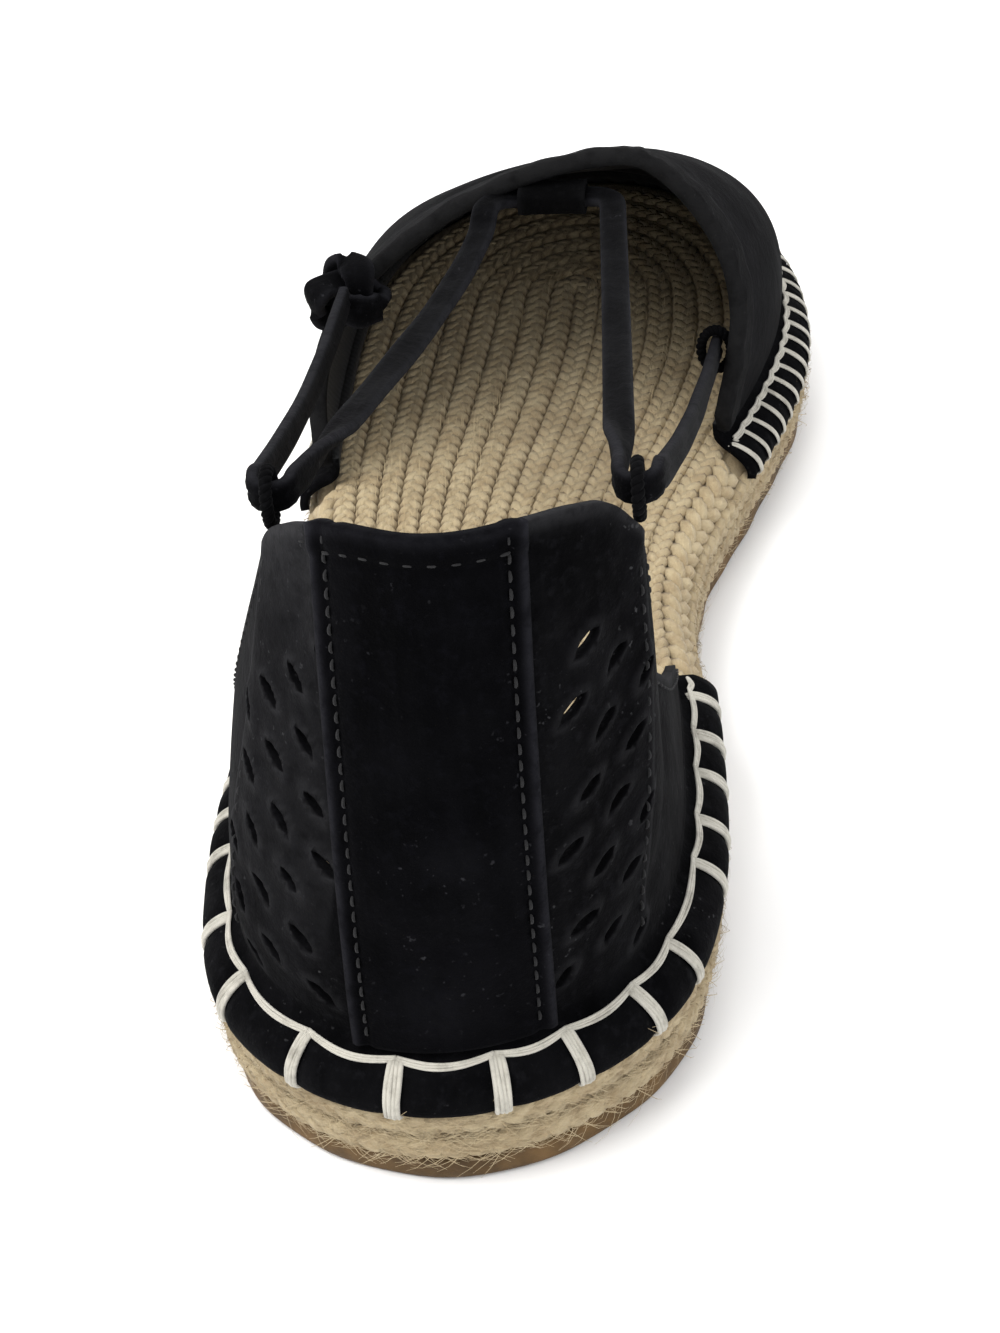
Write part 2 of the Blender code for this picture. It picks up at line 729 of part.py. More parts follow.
def tab_place():
    """Middle of the tab, under the edge of the rim near the ridge."""
    x, y = rim_point("outer", TAB_ON_RIM) - (0, TAB_BEHIND_RIM)
    front = y + LACE_WIDTH / 2 + GAP + TAB_WALL
    rim = float(sole_top(share_of(front)) + vamp_height(x, front))
    return np.array([x, y, rim - TAB_BELOW_RIM - TAB_WALL - LACE_THICKNESS / 2])


def knot_place():
    """Middle of the knot, behind the rim's outer side."""
    return rim_place("outer", KNOT_ON_RIM) + (0, -KNOT_BEHIND_RIM, KNOT_ABOVE_RIM)


def throat_corner(side):
    """Where the lace leaves the tab's line for a heel loop."""
    reach = TAB_WIDTH / 2 + LACE_WIDTH
    return tab_place() + (reach if side == "inner" else -reach, 0, 0)


def heel_loop_frame(side):
    """Middle of a heel loop with the ways forward along the lace, across it and up."""
    middle, outward = heel_loop_place(side)
    far_end = vamp_loop_place() if side == "inner" else knot_place()
    level = np.array([1, 1, 0])
    forward = unit(((throat_corner(side) + far_end) / 2 - middle) * level)
    across = unit((outward - forward * np.dot(outward, forward)) * level)
    return middle, forward, across, np.array([0, 0, 1])


def curve_object(name, points, collection, radius, cyclic=False, half_width=0.0, tilts=None):
    """A round or flat cord along points, as a mesh."""
    curve = bpy.data.curves.new(name, "CURVE")
    curve.dimensions = "3D"
    curve.twist_mode = "Z_UP"
    curve.bevel_depth = radius
    curve.bevel_resolution = 1
    curve.extrude = half_width
    curve.use_fill_caps = not cyclic
    spline = curve.splines.new("POLY")
    spline.points.add(len(points) - 1)
    for index, point in enumerate(points):
        spline.points[index].co = (*point, 1)
        if tilts is not None:
            spline.points[index].tilt = tilts[index]
    spline.use_cyclic_u = cyclic
    source = bpy.data.objects.new(name + "_curve", curve)
    collection.objects.link(source)
    graph = bpy.context.evaluated_depsgraph_get()
    mesh = bpy.data.meshes.new_from_object(source.evaluated_get(graph))
    bpy.data.objects.remove(source, do_unlink=True)
    shape = bmesh.new()
    shape.from_mesh(mesh)
    bmesh.ops.remove_doubles(shape, verts=shape.verts, dist=1e-5)
    bmesh.ops.recalc_face_normals(shape, faces=shape.faces)
    shape.to_mesh(mesh)
    shape.free()
    mesh.name = name
    return new_object(name, mesh, collection)


def ring_points(middle, long_way, short_way, long_radius, short_radius, steps=14):
    turn = np.linspace(0, 2 * math.pi, steps, endpoint=False)[:, None]
    return middle + long_way * long_radius * np.cos(turn) + short_way * short_radius * np.sin(turn)


def build_loops(collection):
    """Round cord loops round the lace, at the quarter's front corners and under the vamp's cuff."""
    long_radius = LACE_WIDTH / 2 + LOOP_CORD / 2 + 2.5 * GAP
    for side, name in (("inner", "heel_loop_medial"), ("outer", "heel_loop_lateral")):
        middle, forward, _, upward = heel_loop_frame(side)
        points = ring_points(middle, upward, forward, long_radius, LACE_TURN_RADIUS)
        curve_object(name, points, collection, LOOP_CORD / 2, cyclic=True)
    short_radius = LACE_THICKNESS / 2 + LOOP_CORD / 2 + 2 * GAP
    points = ring_points(vamp_loop_place(), np.array([0, 0, 1]), np.array([1, 0, 0]), long_radius, short_radius)
    curve_object("vamp_loop_medial", points, collection, LOOP_CORD / 2, cyclic=True)


def build_throat_tab(collection):
    """A flat sleeve round the lace, under the vamp's edge."""
    x, y, z = tab_place()
    half_width = LACE_WIDTH / 2 + GAP
    half_height = LACE_THICKNESS / 2 + GAP
    corner = half_height * TAB_CORNER
    ring = []
    for quarter in range(4):
        side_y = 1 if quarter in (0, 3) else -1
        side_z = 1 if quarter in (0, 1) else -1
        for step in range(4):
            turn = math.pi / 2 * (quarter + step / 3)
            ring.append((y + side_y * (half_width - corner) + corner * math.cos(turn),
                         z + side_z * (half_height - corner) + corner * math.sin(turn)))
    rows = [[(x + end * TAB_WIDTH / 2, *point) for point in ring] for end in (-1, 0, 1)]
    obj = new_object("throat_tab", grid_mesh("throat_tab", np.array(rows), True), collection)
    solidify(obj, TAB_WALL, 1)
    return obj


def bend(start, corner, end, steps):
    """Points between a start and an end on a smooth bend round a corner."""
    t = np.linspace(0, 1, steps + 1)[1:-1, None]
    return (1 - t) ** 2 * start + 2 * t * (1 - t) * corner + t * t * end


def bar(start, end, sag, skew, steps):
    """Points on a stretch of lace that sags, with both ends."""
    t = np.linspace(0, 1, steps + 1)[:, None]
    drop = sag * np.sin(math.pi * t ** skew)
    return start + (end - start) * t - drop * np.array([0, 0, 1])


def heel_turn(side):
    """The lace's way through a heel loop and back, from the inside of the quarter to the outside."""
    middle, forward, across, _ = heel_loop_frame(side)
    turn = np.radians(np.linspace(-90, 90, 7))[:, None]
    return middle + LACE_TURN_RADIUS * (forward * (1 - np.cos(turn)) + across * np.sin(turn))


def lace_route():
    """Middle line of the lace from the vamp's inner side to the knot, with how flat it lies at each point."""
    tab = tab_place()
    aside = np.array([TAB_WIDTH / 2 + GAP, 0, 0])
    corner = {side: throat_corner(side) for side in ("inner", "outer")}
    turn = {side: heel_turn(side) for side in corner}
    from_throat = {
        side: corner[side] + unit(turn[side][0] - corner[side]) * LACE_BEND_REACH for side in corner
    }
    bars = {
        side: bar(from_throat[side], turn[side][0], LACE_SAG[side], LACE_SAG_SKEW[side], 9) for side in corner
    }
    vamp_end = vamp_loop_place()
    into_vamp = unit(vamp_end - turn["inner"][-1])
    knot = knot_place()
    knot_end = knot - unit(knot - turn["outer"][-1]) * (KNOT_TUCK + KNOT_CORD / 2 + GAP)
    parts = [
        (np.array([vamp_end + into_vamp * LACE_WIDTH]), 0, 0),
        (bar(vamp_end, turn["inner"][-1], LACE_RETURN_SAG, 1, 6)[:-1], 0, 0),
        (turn["inner"][::-1], 0, 0),
        (bars["inner"][-2::-1], 0, 1),
        (bend(from_throat["inner"], corner["inner"], tab + aside, 5), 1, 1),
        (np.array([tab + aside, tab - aside]), 1, 1),
        (bend(tab - aside, corner["outer"], from_throat["outer"], 5), 1, 1),
        (bars["outer"][:-1], 1, 0),
        (turn["outer"], 0, 0),
        (bar(turn["outer"][-1], knot_end, LACE_RETURN_SAG, 1, 6)[1:], 0, 0),
    ]
    points, flat = [], []
    for stretch, start, end in parts:
        length = np.concatenate([[0], np.cumsum(np.linalg.norm(np.diff(stretch, axis=0), axis=1))])
        if start == end:
            share = np.full(len(stretch), float(start))
        elif end > start:
            share = ease((length + LACE_TURN_RADIUS) / LACE_TWIST_LENGTH)
        else:
            share = ease((length[-1] - length + LACE_TURN_RADIUS) / LACE_TWIST_LENGTH)
        points.append(stretch)
        flat.append(share)
    return np.concatenate(points), np.concatenate(flat)


def build_lace(collection):
    points, flat = lace_route()
    half_width = (LACE_WIDTH - LACE_THICKNESS) / 2
    return curve_object("lace", points, collection, LACE_THICKNESS / 2, half_width=half_width,
                        tilts=flat * math.pi / 2)


def build_lace_knot(collection):
    """An overhand knot drawn up in the lace, as a closed cord."""
    turn = np.linspace(0, 2 * math.pi, 36, endpoint=False)
    across = np.array([1, 0, 0])
    facing = unit(np.array([0, -0.8, 0.6]))
    upward = np.cross(facing, across)
    wide = (np.sin(turn) + 2 * np.sin(2 * turn)) / 3 * KNOT_REACH
    tall = (np.cos(turn) - 2 * np.cos(2 * turn)) / 3 * KNOT_REACH
    deep = -np.sin(3 * turn) * KNOT_DEPTH
    points = (knot_place() + wide[:, None] * across - tall[:, None] * upward + deep[:, None] * facing)
    return curve_object("lace_knot", points, collection, KNOT_CORD / 2, cyclic=True)


COLLECTION_NAME = "espadrille"

# Material of each piece
MATERIALS = {
    # piece: material, colour, roughness
    "outsole": ("outsole_rubber", (0.155, 0.085, 0.036), 0.60),
    "jute_sole": ("jute_rope", (0.52, 0.41, 0.26), 0.95),
    "vamp": ("vamp_suede", (0.020, 0.020, 0.023), 0.95),
    "quarter": ("quarter_suede", (0.020, 0.020, 0.023), 0.95),
    "back_stay": ("stay_suede", (0.017, 0.017, 0.020), 0.95),
    "throat_tab": ("tab_suede", (0.030, 0.030, 0.034), 0.92),
    "heel_loop_medial": ("medial_loop_cord", (0.012, 0.012, 0.014), 0.85),
    "heel_loop_lateral": ("lateral_loop_cord", (0.012, 0.012, 0.014), 0.85),
    "vamp_loop_medial": ("vamp_loop_cord", (0.012, 0.012, 0.014), 0.85),
    "lace": ("lace_suede", (0.045, 0.045, 0.052), 0.90),
    "lace_knot": ("knot_suede", (0.045, 0.045, 0.052), 0.90),
}


def add_material(obj):
    name, colour, roughness = MATERIALS[obj.name]
    material = bpy.data.materials.new(name)
    material.use_nodes = True
    shader = material.node_tree.nodes["Principled BSDF"]
    shader.inputs["Base Color"].default_value = (*colour, 1)
    shader.inputs["Roughness"].default_value = roughness
    shader.inputs["Metallic"].default_value = 0.0
    obj.data.materials.clear()
    obj.data.materials.append(material)


def main():
    for obj in list(bpy.data.objects):
        bpy.data.objects.remove(obj, do_unlink=True)
    parts = bpy.data.collections.new(COLLECTION_NAME)
    cutters = bpy.data.collections.new("cutters")
    for collection in (parts, cutters):
        bpy.context.scene.collection.children.link(collection)
    build_outsole(parts)
    build_jute_sole(parts)
    build_vamp(parts)
    build_quarter(parts, cutters)
    build_back_stay(parts)
    build_throat_tab(parts)
    build_loops(parts)
    build_lace(parts)
    build_lace_knot(parts)
    for obj in parts.objects:
        add_material(obj)


main()
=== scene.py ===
# A woman's left espadrille in dark suede on a plaited jute sole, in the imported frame.
# X points to the shoe's inner side, Y to the toe and Z up, in metres.

import math

import bmesh
import bpy
import numpy as np
from mathutils import Matrix, Vector


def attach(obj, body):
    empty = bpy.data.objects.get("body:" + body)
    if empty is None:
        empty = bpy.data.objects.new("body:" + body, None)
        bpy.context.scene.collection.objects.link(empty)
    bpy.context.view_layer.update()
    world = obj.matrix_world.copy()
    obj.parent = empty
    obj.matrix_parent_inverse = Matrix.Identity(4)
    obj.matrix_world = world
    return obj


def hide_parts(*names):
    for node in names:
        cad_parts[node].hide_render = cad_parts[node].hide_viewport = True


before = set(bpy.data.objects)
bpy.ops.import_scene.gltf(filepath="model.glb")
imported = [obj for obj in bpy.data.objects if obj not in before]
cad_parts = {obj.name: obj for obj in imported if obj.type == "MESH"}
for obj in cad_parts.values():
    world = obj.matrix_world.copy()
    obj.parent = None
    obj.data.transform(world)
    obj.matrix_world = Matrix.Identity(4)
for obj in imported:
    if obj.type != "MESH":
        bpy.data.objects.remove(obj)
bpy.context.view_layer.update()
scene = bpy.context.scene
print("frame loaded")

# Camera, where the photograph was taken from; roll in degrees, lens and sensor in millimetres
view = {
    "place": (0.0642, -0.4534, 0.3309),
    "lookAt": (0.0017, -0.0620, 0.0400),
    "roll": 5.6,
    "lens": 118,
    "sensor": 36,
}


def addCamera():
    data = bpy.data.cameras.new("camera")
    data.lens = view["lens"]
    data.sensor_width = view["sensor"]
    data.sensor_fit = "HORIZONTAL"
    data.clip_start = 0.01
    data.clip_end = 20
    camera = bpy.data.objects.new("camera", data)
    scene.collection.objects.link(camera)
    away = Vector(view["lookAt"]) - Vector(view["place"])
    turn = away.to_track_quat("-Z", "Y").to_matrix().to_4x4()
    roll = Matrix.Rotation(math.radians(-view["roll"]), 4, "Z")
    camera.matrix_world = Matrix.Translation(view["place"]) @ turn @ roll
    scene.camera = camera


addCamera()

# Main sizes of the shoe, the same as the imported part's
form = {
    "soleLength": 0.2605,
    "ballWidth": 0.0868,
    "heelEndRadius": 0.031,
    "toeEndRadius": 0.037,
    "heelSway": 0.0036,
    "soleHeight": 0.0190,
    "forefootThinning": 0.0025,
    "toeSpring": 0.0050,
    "toeSpringStart": 0.72,
    "outsoleThickness": 0.0042,
    "bandHeight": 0.0080,
    "bandReach": 0.0048,
    "wall": 0.0015,
    "instepHeight": 0.0540,
    "toeBoxRadius": 0.0120,
    "heelHeight": 0.0840,
    "heelLean": 0.0055,
    "topSway": 0.0068,
    "wingLean": 0.0060,
    "heelRound": 0.045,  # how far from the back end the heel's lean goes
    "wingStart": 0.020,  # and from where the wing's own lean comes in
    "wingEase": 0.025,
}
soleLength, bandReach, bandHeight = form["soleLength"], form["bandReach"], form["bandHeight"]
heelHeight, instepHeight, wall = form["heelHeight"], form["instepHeight"], form["wall"]

# Share of the sole's length, half width to the inner side and to the outer as shares of the ball width
soleStations = (
    (0.08, 0.348, 0.388), (0.17, 0.396, 0.468), (0.26, 0.385, 0.487), (0.35, 0.357, 0.466),
    (0.45, 0.310, 0.456), (0.53, 0.325, 0.476), (0.60, 0.378, 0.500), (0.68, 0.446, 0.512),
    (0.77, 0.491, 0.515), (0.85, 0.470, 0.488), (0.92, 0.390, 0.399),
)
# Where the wings' top edge runs out, and where their cloth is cut off
wingReach = {"inner": 0.371, "outer": 0.359}
wingEnd = {"inner": 0.357, "outer": 0.342}
vampStart = {"inner": 0.620, "outer": 0.583}
# Share of the length, ridge height as a share of the instep's, offset as a share of the ball width
ridge = (
    (0.54, 1.150, 0.158), (0.67, 1.000, 0.160), (0.737, 0.853, 0.155), (0.795, 0.710, 0.144),
    (0.853, 0.541, 0.127), (0.90, 0.383, 0.104), (0.95, 0.235, 0.058), (1.00, 0.000, 0.000),
)
# Edge of the vamp's opening: share of the way from the sole to the ridge, place along, place across
rim = {
    "inner": ((0.0, 0.622, 0.992), (0.2, 0.634, 0.960), (0.4, 0.650, 0.890), (0.6, 0.663, 0.740),
              (0.8, 0.671, 0.420), (1.0, 0.671, 0.0)),
    "outer": ((0.0, 0.585, 0.992), (0.2, 0.602, 0.965), (0.4, 0.622, 0.910), (0.6, 0.640, 0.770),
              (0.8, 0.660, 0.430), (1.0, 0.671, 0.0)),
}
# Section of the hem band from its lower edge up: row, outward, upward as shares of reach and height
bandSection = (
    (0, 1.24, -0.75), (1, 1.27, -0.50), (2, 1.19, -0.275), (3, 0.95, -0.075),
    (4, 0.60, 0.10), (5, 0.23, 0.24), (6, 0.03, 0.36), (7, 0.00, 0.50),
)
# Top edge of the quarter: share of the wing, height at the inner side and at the outer
quarterEdge = (
    (0.00, 1.000, 1.000), (0.14, 1.000, 0.990), (0.22, 0.985, 0.960), (0.29, 0.950, 0.925),
    (0.35, 0.865, 0.865), (0.42, 0.700, 0.715), (0.52, 0.490, 0.510), (0.63, 0.340, 0.350),
    (0.76, 0.225, 0.230), (0.90, 0.120, 0.120), (1.00, 0.050, 0.050),
)
# Heel's form: share of its height, width left, lean, sway
heelForm = (
    (0.00, 1.000, 0.00, 0.00), (0.15, 1.015, -0.12, 0.00), (0.35, 1.000, 0.00, 0.30),
    (0.55, 0.945, 0.25, 0.64), (0.80, 0.875, 0.62, 0.89), (1.00, 0.820, 1.00, 1.00),
)
fullness = {"inner": 2.1, "outer": 1.78}
sideBulge = {"inner": 0.0042, "outer": 0.0052}


# value = Hermite cubic between the table's rows, with slopes from the rows beside
def smooth(table, x, column=1):
    rows = np.array(table, float)
    xs, ys = rows[:, 0], rows[:, column]
    slopes = np.gradient(ys, xs)
    x = np.clip(np.asarray(x, float), xs[0], xs[-1])
    left = np.clip(np.searchsorted(xs, x, side="right") - 1, 0, len(xs) - 2)
    span = xs[left + 1] - xs[left]
    t = (x - xs[left]) / span
    return (ys[left] * (1 + 2 * t) * (1 - t) ** 2 + slopes[left] * span * t * (1 - t) ** 2
            + ys[left + 1] * t * t * (3 - 2 * t) + slopes[left + 1] * span * t * t * (t - 1))


# ease = 3x^2 - 2x^3 between 0 and 1
def ease(x):
    x = np.clip(x, 0, 1)
    return x * x * (3 - 2 * x)


def unit(vectors):
    return vectors / np.maximum(np.linalg.norm(vectors, axis=-1, keepdims=True), 1e-12)


# angle = arccos(1 - 2 share)
def angleAt(share):
    return np.arccos(1 - 2 * np.asarray(share, float))


# Half widths / sin(angle) over the angle, with the round ends' limits first and last
def widthRows(column, first, last):
    rows = [(0.0, math.sqrt(2 * first * soleLength) / 2)]
    for row in soleStations:
        angle = float(angleAt(row[0]))
        rows.append((angle, row[column] * form["ballWidth"] / math.sin(angle)))
    return rows + [(math.pi, math.sqrt(2 * last * soleLength) / 2)]


innerWidths = widthRows(1, form["heelEndRadius"], form["toeEndRadius"])
outerWidths = widthRows(2, form["heelEndRadius"], form["toeEndRadius"])


# lift = spring * ((share - start) / (1 - start))^2 past the start
def soleLift(share):
    start = form["toeSpringStart"]
    return form["toeSpring"] * np.clip((share - start) / (1 - start), 0, 1) ** 2


# top = lift + sole height - thinning * ease((share - 0.35) / 0.35)
def soleTop(share):
    return soleLift(share) + form["soleHeight"] - form["forefootThinning"] * ease((share - 0.35) / 0.35)


# share = y / length + 0.5
def shareOf(y):
    return np.clip(y / soleLength + 0.5, 0, 1)


# x = sin(angle) * half width - heel sway, y = -cos(angle) * length / 2
def outline(angle):
    share = (1 - np.cos(angle)) / 2
    half = np.where(angle >= 0, smooth(innerWidths, np.abs(angle)), smooth(outerWidths, np.abs(angle)))
    sway = form["heelSway"] * np.clip(1 - share / 0.25, 0, 1) ** 2
    return np.stack([np.sin(angle) * half - sway, (share - 0.5) * soleLength], -1)


# normal = the outline's direction, turned a quarter outwards
def outlineNormal(angle):
    along = unit(outline(angle + 1e-4) - outline(angle - 1e-4))
    return np.stack([along[..., 1], -along[..., 0]], -1)


# edge = outline - normal * inset
def soleEdge(angle, inset=0.0):
    angle = np.asarray(angle, float)
    return outline(angle) - outlineNormal(angle) * np.asarray(inset)[..., None]


# A height put on each point of a plan
def atHeight(plan, height):
    return np.concatenate([plan, height[..., None]], -1)


# Running length along a line of points
def runAlong(points):
    return np.concatenate([[0], np.cumsum(np.linalg.norm(np.diff(points, axis=0), axis=1))])


# exp(-(x / width)^2)
def bell(x, width):
    return np.exp(-(x / width) ** 2)


fineAngles = np.linspace(0, math.pi, 721)
wallFoot = {"inner": soleEdge(fineAngles, bandReach), "outer": soleEdge(-fineAngles, bandReach)}
footLength = {side: runAlong(line) for side, line in wallFoot.items()}


# Signed length round the foot of the wall from the middle of the heel, inner side positive
def lengthAt(angle):
    length = np.where(angle >= 0, np.interp(np.abs(angle), fineAngles, footLength["inner"]),
                      np.interp(np.abs(angle), fineAngles, footLength["outer"]))
    return length * np.where(angle >= 0, 1, -1)


# The same the other way round: the angle at a signed length
def angleOf(length):
    length = np.asarray(length, float)
    return np.where(length >= 0, np.interp(np.abs(length), footLength["inner"], fineAngles),
                    -np.interp(np.abs(length), footLength["outer"], fineAngles))


# point = outline moved out by the section's reach, at the footbed's height + the section's rise
def bandPoint(angle, row):
    angle, row = np.broadcast_arrays(np.asarray(angle, float), np.asarray(row, float))
    out, up = smooth(bandSection, row, 1), smooth(bandSection, row, 2)
    plan = soleEdge(angle, bandReach * (1 - out))
    foot = soleEdge(angle, bandReach)
    height = soleTop(shareOf(foot[..., 1])) + bandHeight * up
    return atHeight(plan, height)


# height = sin(angle) * smooth curve through the ridge's rows
def ridgeHeight(y):
    reach = soleLength / 2 - bandReach
    share = np.clip((y + reach) / (2 * reach), 0, 1)
    rows = []
    for at, part, _ in ridge[:-1]:
        turned = float(angleAt(at))
        rows.append((turned, part * instepHeight / math.sin(turned)))
    rows.append((math.pi, math.sqrt(2 * form["toeBoxRadius"] * 2 * reach) / 2))
    angle = angleAt(share)
    return np.sin(angle) * smooth(rows, angle)


# x = smooth curve through the ridge's offsets * ball width
def ridgeX(y):
    return smooth(ridge, shareOf(y), 2) * form["ballWidth"]


# x of the wall's foot on one side, at a place along
def wallX(y, side):
    return np.interp(y, wallFoot[side][:, 1], wallFoot[side][:, 0])


# rise = ridge height * (1 - across^fullness)^0.5
def vampHeight(x, y):
    middle = ridgeX(y)
    inner = x >= middle
    reach = np.where(inner, wallX(y, "inner") - middle, middle - wallX(y, "outer"))
    across = np.clip(np.abs(x - middle) / np.maximum(reach, 1e-6), 0, 1)
    toe = ease((shareOf(y) - 0.85) / 0.12)
    power = np.where(inner, fullness["inner"], fullness["outer"]) * (1 - toe) + 2 * toe
    return ridgeHeight(y) * np.sqrt(1 - across ** power)


# point = ridge + across * (wall's foot - ridge), at the table's place along
def rimPoint(side, share):
    along, across = smooth(rim[side], share, 1), smooth(rim[side], share, 2)
    y = (along - 0.5) * soleLength
    return np.stack([ridgeX(y) + across * (wallX(y, side) - ridgeX(y)), y], -1)


# share = length round the wall's foot / length to where the wing runs out
def wingShare(angle):
    inner = np.interp(angleAt(wingReach["inner"]), fineAngles, footLength["inner"])
    outer = np.interp(angleAt(wingReach["outer"]), fineAngles, footLength["outer"])
    return np.abs(lengthAt(angle)) / np.where(angle >= 0, inner, outer)


# top = smooth curve through the top edge's rows, at the wing's share
def quarterTop(angle):
    share = wingShare(angle)
    return np.where(angle >= 0, smooth(quarterEdge, share, 1), smooth(quarterEdge, share, 2))


# point = wall's foot, x narrowed + sway - wing lean, y leaned forward, z = footbed + up * heel height
def quarterPoint(angle, up):
    angle, up = np.broadcast_arrays(np.asarray(angle, float), np.asarray(up, float))
    foot = soleEdge(angle, bandReach)
    fromHeel = foot[..., 1] + soleLength / 2 - bandReach
    wing = ease((fromHeel - form["wingStart"]) / form["wingEase"])
    sway = smooth(heelForm, up, 3) * form["topSway"] * (1 - wing)
    inward = np.sign(foot[..., 0]) * form["wingLean"] * up * wing
    x = foot[..., 0] * smooth(heelForm, up, 1) + sway - inward
    lean = smooth(heelForm, up, 2) * form["heelLean"] * ease(1 - fromHeel / form["heelRound"])
    return np.stack([x, foot[..., 1] + lean, soleTop(shareOf(foot[..., 1])) + up * heelHeight], -1)


# The quarter's point with its directions along the wall, up it and outwards
def quarterFrame(angle, up):
    angle, up = np.broadcast_arrays(np.asarray(angle, float), np.asarray(up, float))
    along = unit(quarterPoint(angle + 1e-3, up) - quarterPoint(angle - 1e-3, up))
    upward = quarterPoint(angle, up + 1e-3) - quarterPoint(angle, up - 1e-3)
    outward = unit(np.cross(along, upward))
    return quarterPoint(angle, up), along, np.cross(outward, along), outward


# Quads of a grid of points, row by row
def gridFaces(rows, columns, closed=False):
    across = columns if closed else columns - 1
    r, c = np.meshgrid(np.arange(rows - 1), np.arange(across), indexing="ij")
    after = (c + 1) % columns
    faces = [r * columns + c, r * columns + after, (r + 1) * columns + after, (r + 1) * columns + c]
    return np.stack(faces, -1).reshape(-1, 4)


# Values read along a line, at given lengths
def readLine(at, length, values):
    return np.stack([np.interp(at, length, values[:, k]) for k in range(3)], 1)


# normal = step along a row x step to the next row
def gridNormals(points):
    return unit(np.cross(np.gradient(points, axis=1), np.gradient(points, axis=0)))


# Puts a mesh with its materials and per-point values in the scene, riding on the body
def addPiece(name, points, faces, materials, values=None, replaces=(), extra=()):
    mesh = bpy.data.meshes.new(name)
    mesh.from_pydata(points.reshape(-1, 3).tolist(), [], np.asarray(faces).tolist() + list(extra))
    for key, value in (values or {}).items():
        layer = mesh.attributes.new(key, "FLOAT", "POINT")
        layer.data.foreach_set("value", np.asarray(value, np.float32).ravel())
    mesh.shade_smooth()
    for material in materials:
        mesh.materials.append(material)
    obj = bpy.data.objects.new(name, mesh)
    scene.collection.objects.link(obj)
    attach(obj, "root")
    if replaces:
        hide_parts(*replaces)
    return obj


# A line read again at even steps, through a Hermite curve along its length
def evenLine(points, step, closed=False):
    points = np.asarray(points, float)
    if closed:
        points = np.concatenate([points, points[:1]])
    length = runAlong(points)
    keep = np.concatenate([[True], np.diff(length) > 1e-7])
    points, length = points[keep], length[keep]
    count = max(4, int(length[-1] / step))
    at = np.linspace(0, length[-1], count + 1)
    if closed:
        at = at[:-1]
    return np.stack([smooth(np.stack([length, points[:, k]], 1), at) for k in range(3)], 1)


# points = path + side * a + up * b, with up near the given normals
def sweep(path, normals, profile, closed=False):
    if closed:
        along = np.roll(path, -1, 0) - np.roll(path, 1, 0)
    else:
        along = np.gradient(path, axis=0)
    side = unit(np.cross(unit(along), normals))
    up = np.cross(side, unit(along))
    profile = np.broadcast_to(profile, (len(path), *np.shape(profile)[-2:]))
    return path[:, None] + side[:, None] * profile[..., :1] + up[:, None] * profile[..., 1:]


# point = radius * (cos, sin)
def circle(radius, sides):
    turn = np.linspace(0, 2 * math.pi, sides, endpoint=False)
    return np.stack([np.cos(turn), np.sin(turn)], 1) * radius


# Several swept tubes as one mesh: points, faces and end faces, all facing outwards
def joinTubes(tubes, sides, closed):
    points, faces, ends, start = [], [], [], 0
    for tube in tubes:
        rows = len(tube)
        if closed:
            faces.append(gridFaces(rows + 1, sides, True)[:, ::-1] % (rows * sides) + start)
        else:
            faces.append(gridFaces(rows, sides, True)[:, ::-1] + start)
            ends.append(list(range(start, start + sides)))
            ends.append(list(range(start + (rows - 1) * sides, start + rows * sides))[::-1])
        points.append(tube.reshape(-1, 3))
        start += rows * sides
    return np.concatenate(points), np.concatenate(faces), ends


# Three strands woven: across = wide * sin(phase), in and out = deep * sin(2 phase)
def plaitTubes(path, outward, upward, wide, deep, radius, pitch, closed, sides=6):
    steps = np.roll(path, -1, 0) - path if closed else np.diff(path, axis=0)
    length = np.concatenate([[0], np.cumsum(np.linalg.norm(steps, axis=1))])
    total = length[-1]
    turns = max(1, round(total / pitch))
    length = length[:-1] if closed else length
    tubes, depths = [], []
    for strand in range(3):
        phase = 2 * math.pi * (turns * length / total + strand / 3)
        across, inAndOut = np.sin(phase), np.sin(2 * phase)
        line = path + upward * (wide * across)[:, None] + outward * (deep * inAndOut)[:, None]
        size = np.asarray(radius) * np.ones(len(path))
        profile = circle(1.0, sides)[None] * size[:, None, None]
        tubes.append(sweep(line, outward, profile, closed))
        # depth of each strand, 1 where it dips in; the jute's painted shade is read from it
        depths.append(np.repeat(0.5 - 0.5 * inAndOut, sides))
    return tubes, depths


# Small capsules laid end to end on a surface, thinner and lower towards both ends
def stitchTubes(path, normals, length, space, radius, rise=0.4, sides=6):
    along = runAlong(path)
    count = max(1, int(along[-1] / (length + space)))
    centre = (np.arange(count) + 0.5) * along[-1] / count
    first, last = readLine(centre - length / 2, along, path), readLine(centre + length / 2, along, path)
    normal = unit(readLine(centre, along, normals))
    forward = unit(last - first)
    side = unit(np.cross(forward, normal))
    up = np.cross(side, forward)
    t = np.array([-1, -0.9, -0.5, 0.0, 0.5, 0.9, 1])
    size = radius * np.array([0.15, 0.7, 1, 1.05, 1, 0.7, 0.15])
    lift = radius * (rise - 1.5 * np.abs(t) ** 3)
    middle = (first + last) / 2
    line = middle[:, None] + forward[:, None] * t[:, None] * length / 2 + up[:, None] * lift[:, None]
    ring = circle(1.0, sides)
    points = (line[:, :, None] + side[:, None, None] * (size[:, None] * ring[:, 0])[None, :, :, None]
              + up[:, None, None] * (size[:, None] * ring[:, 1])[None, :, :, None])
    return list(points)


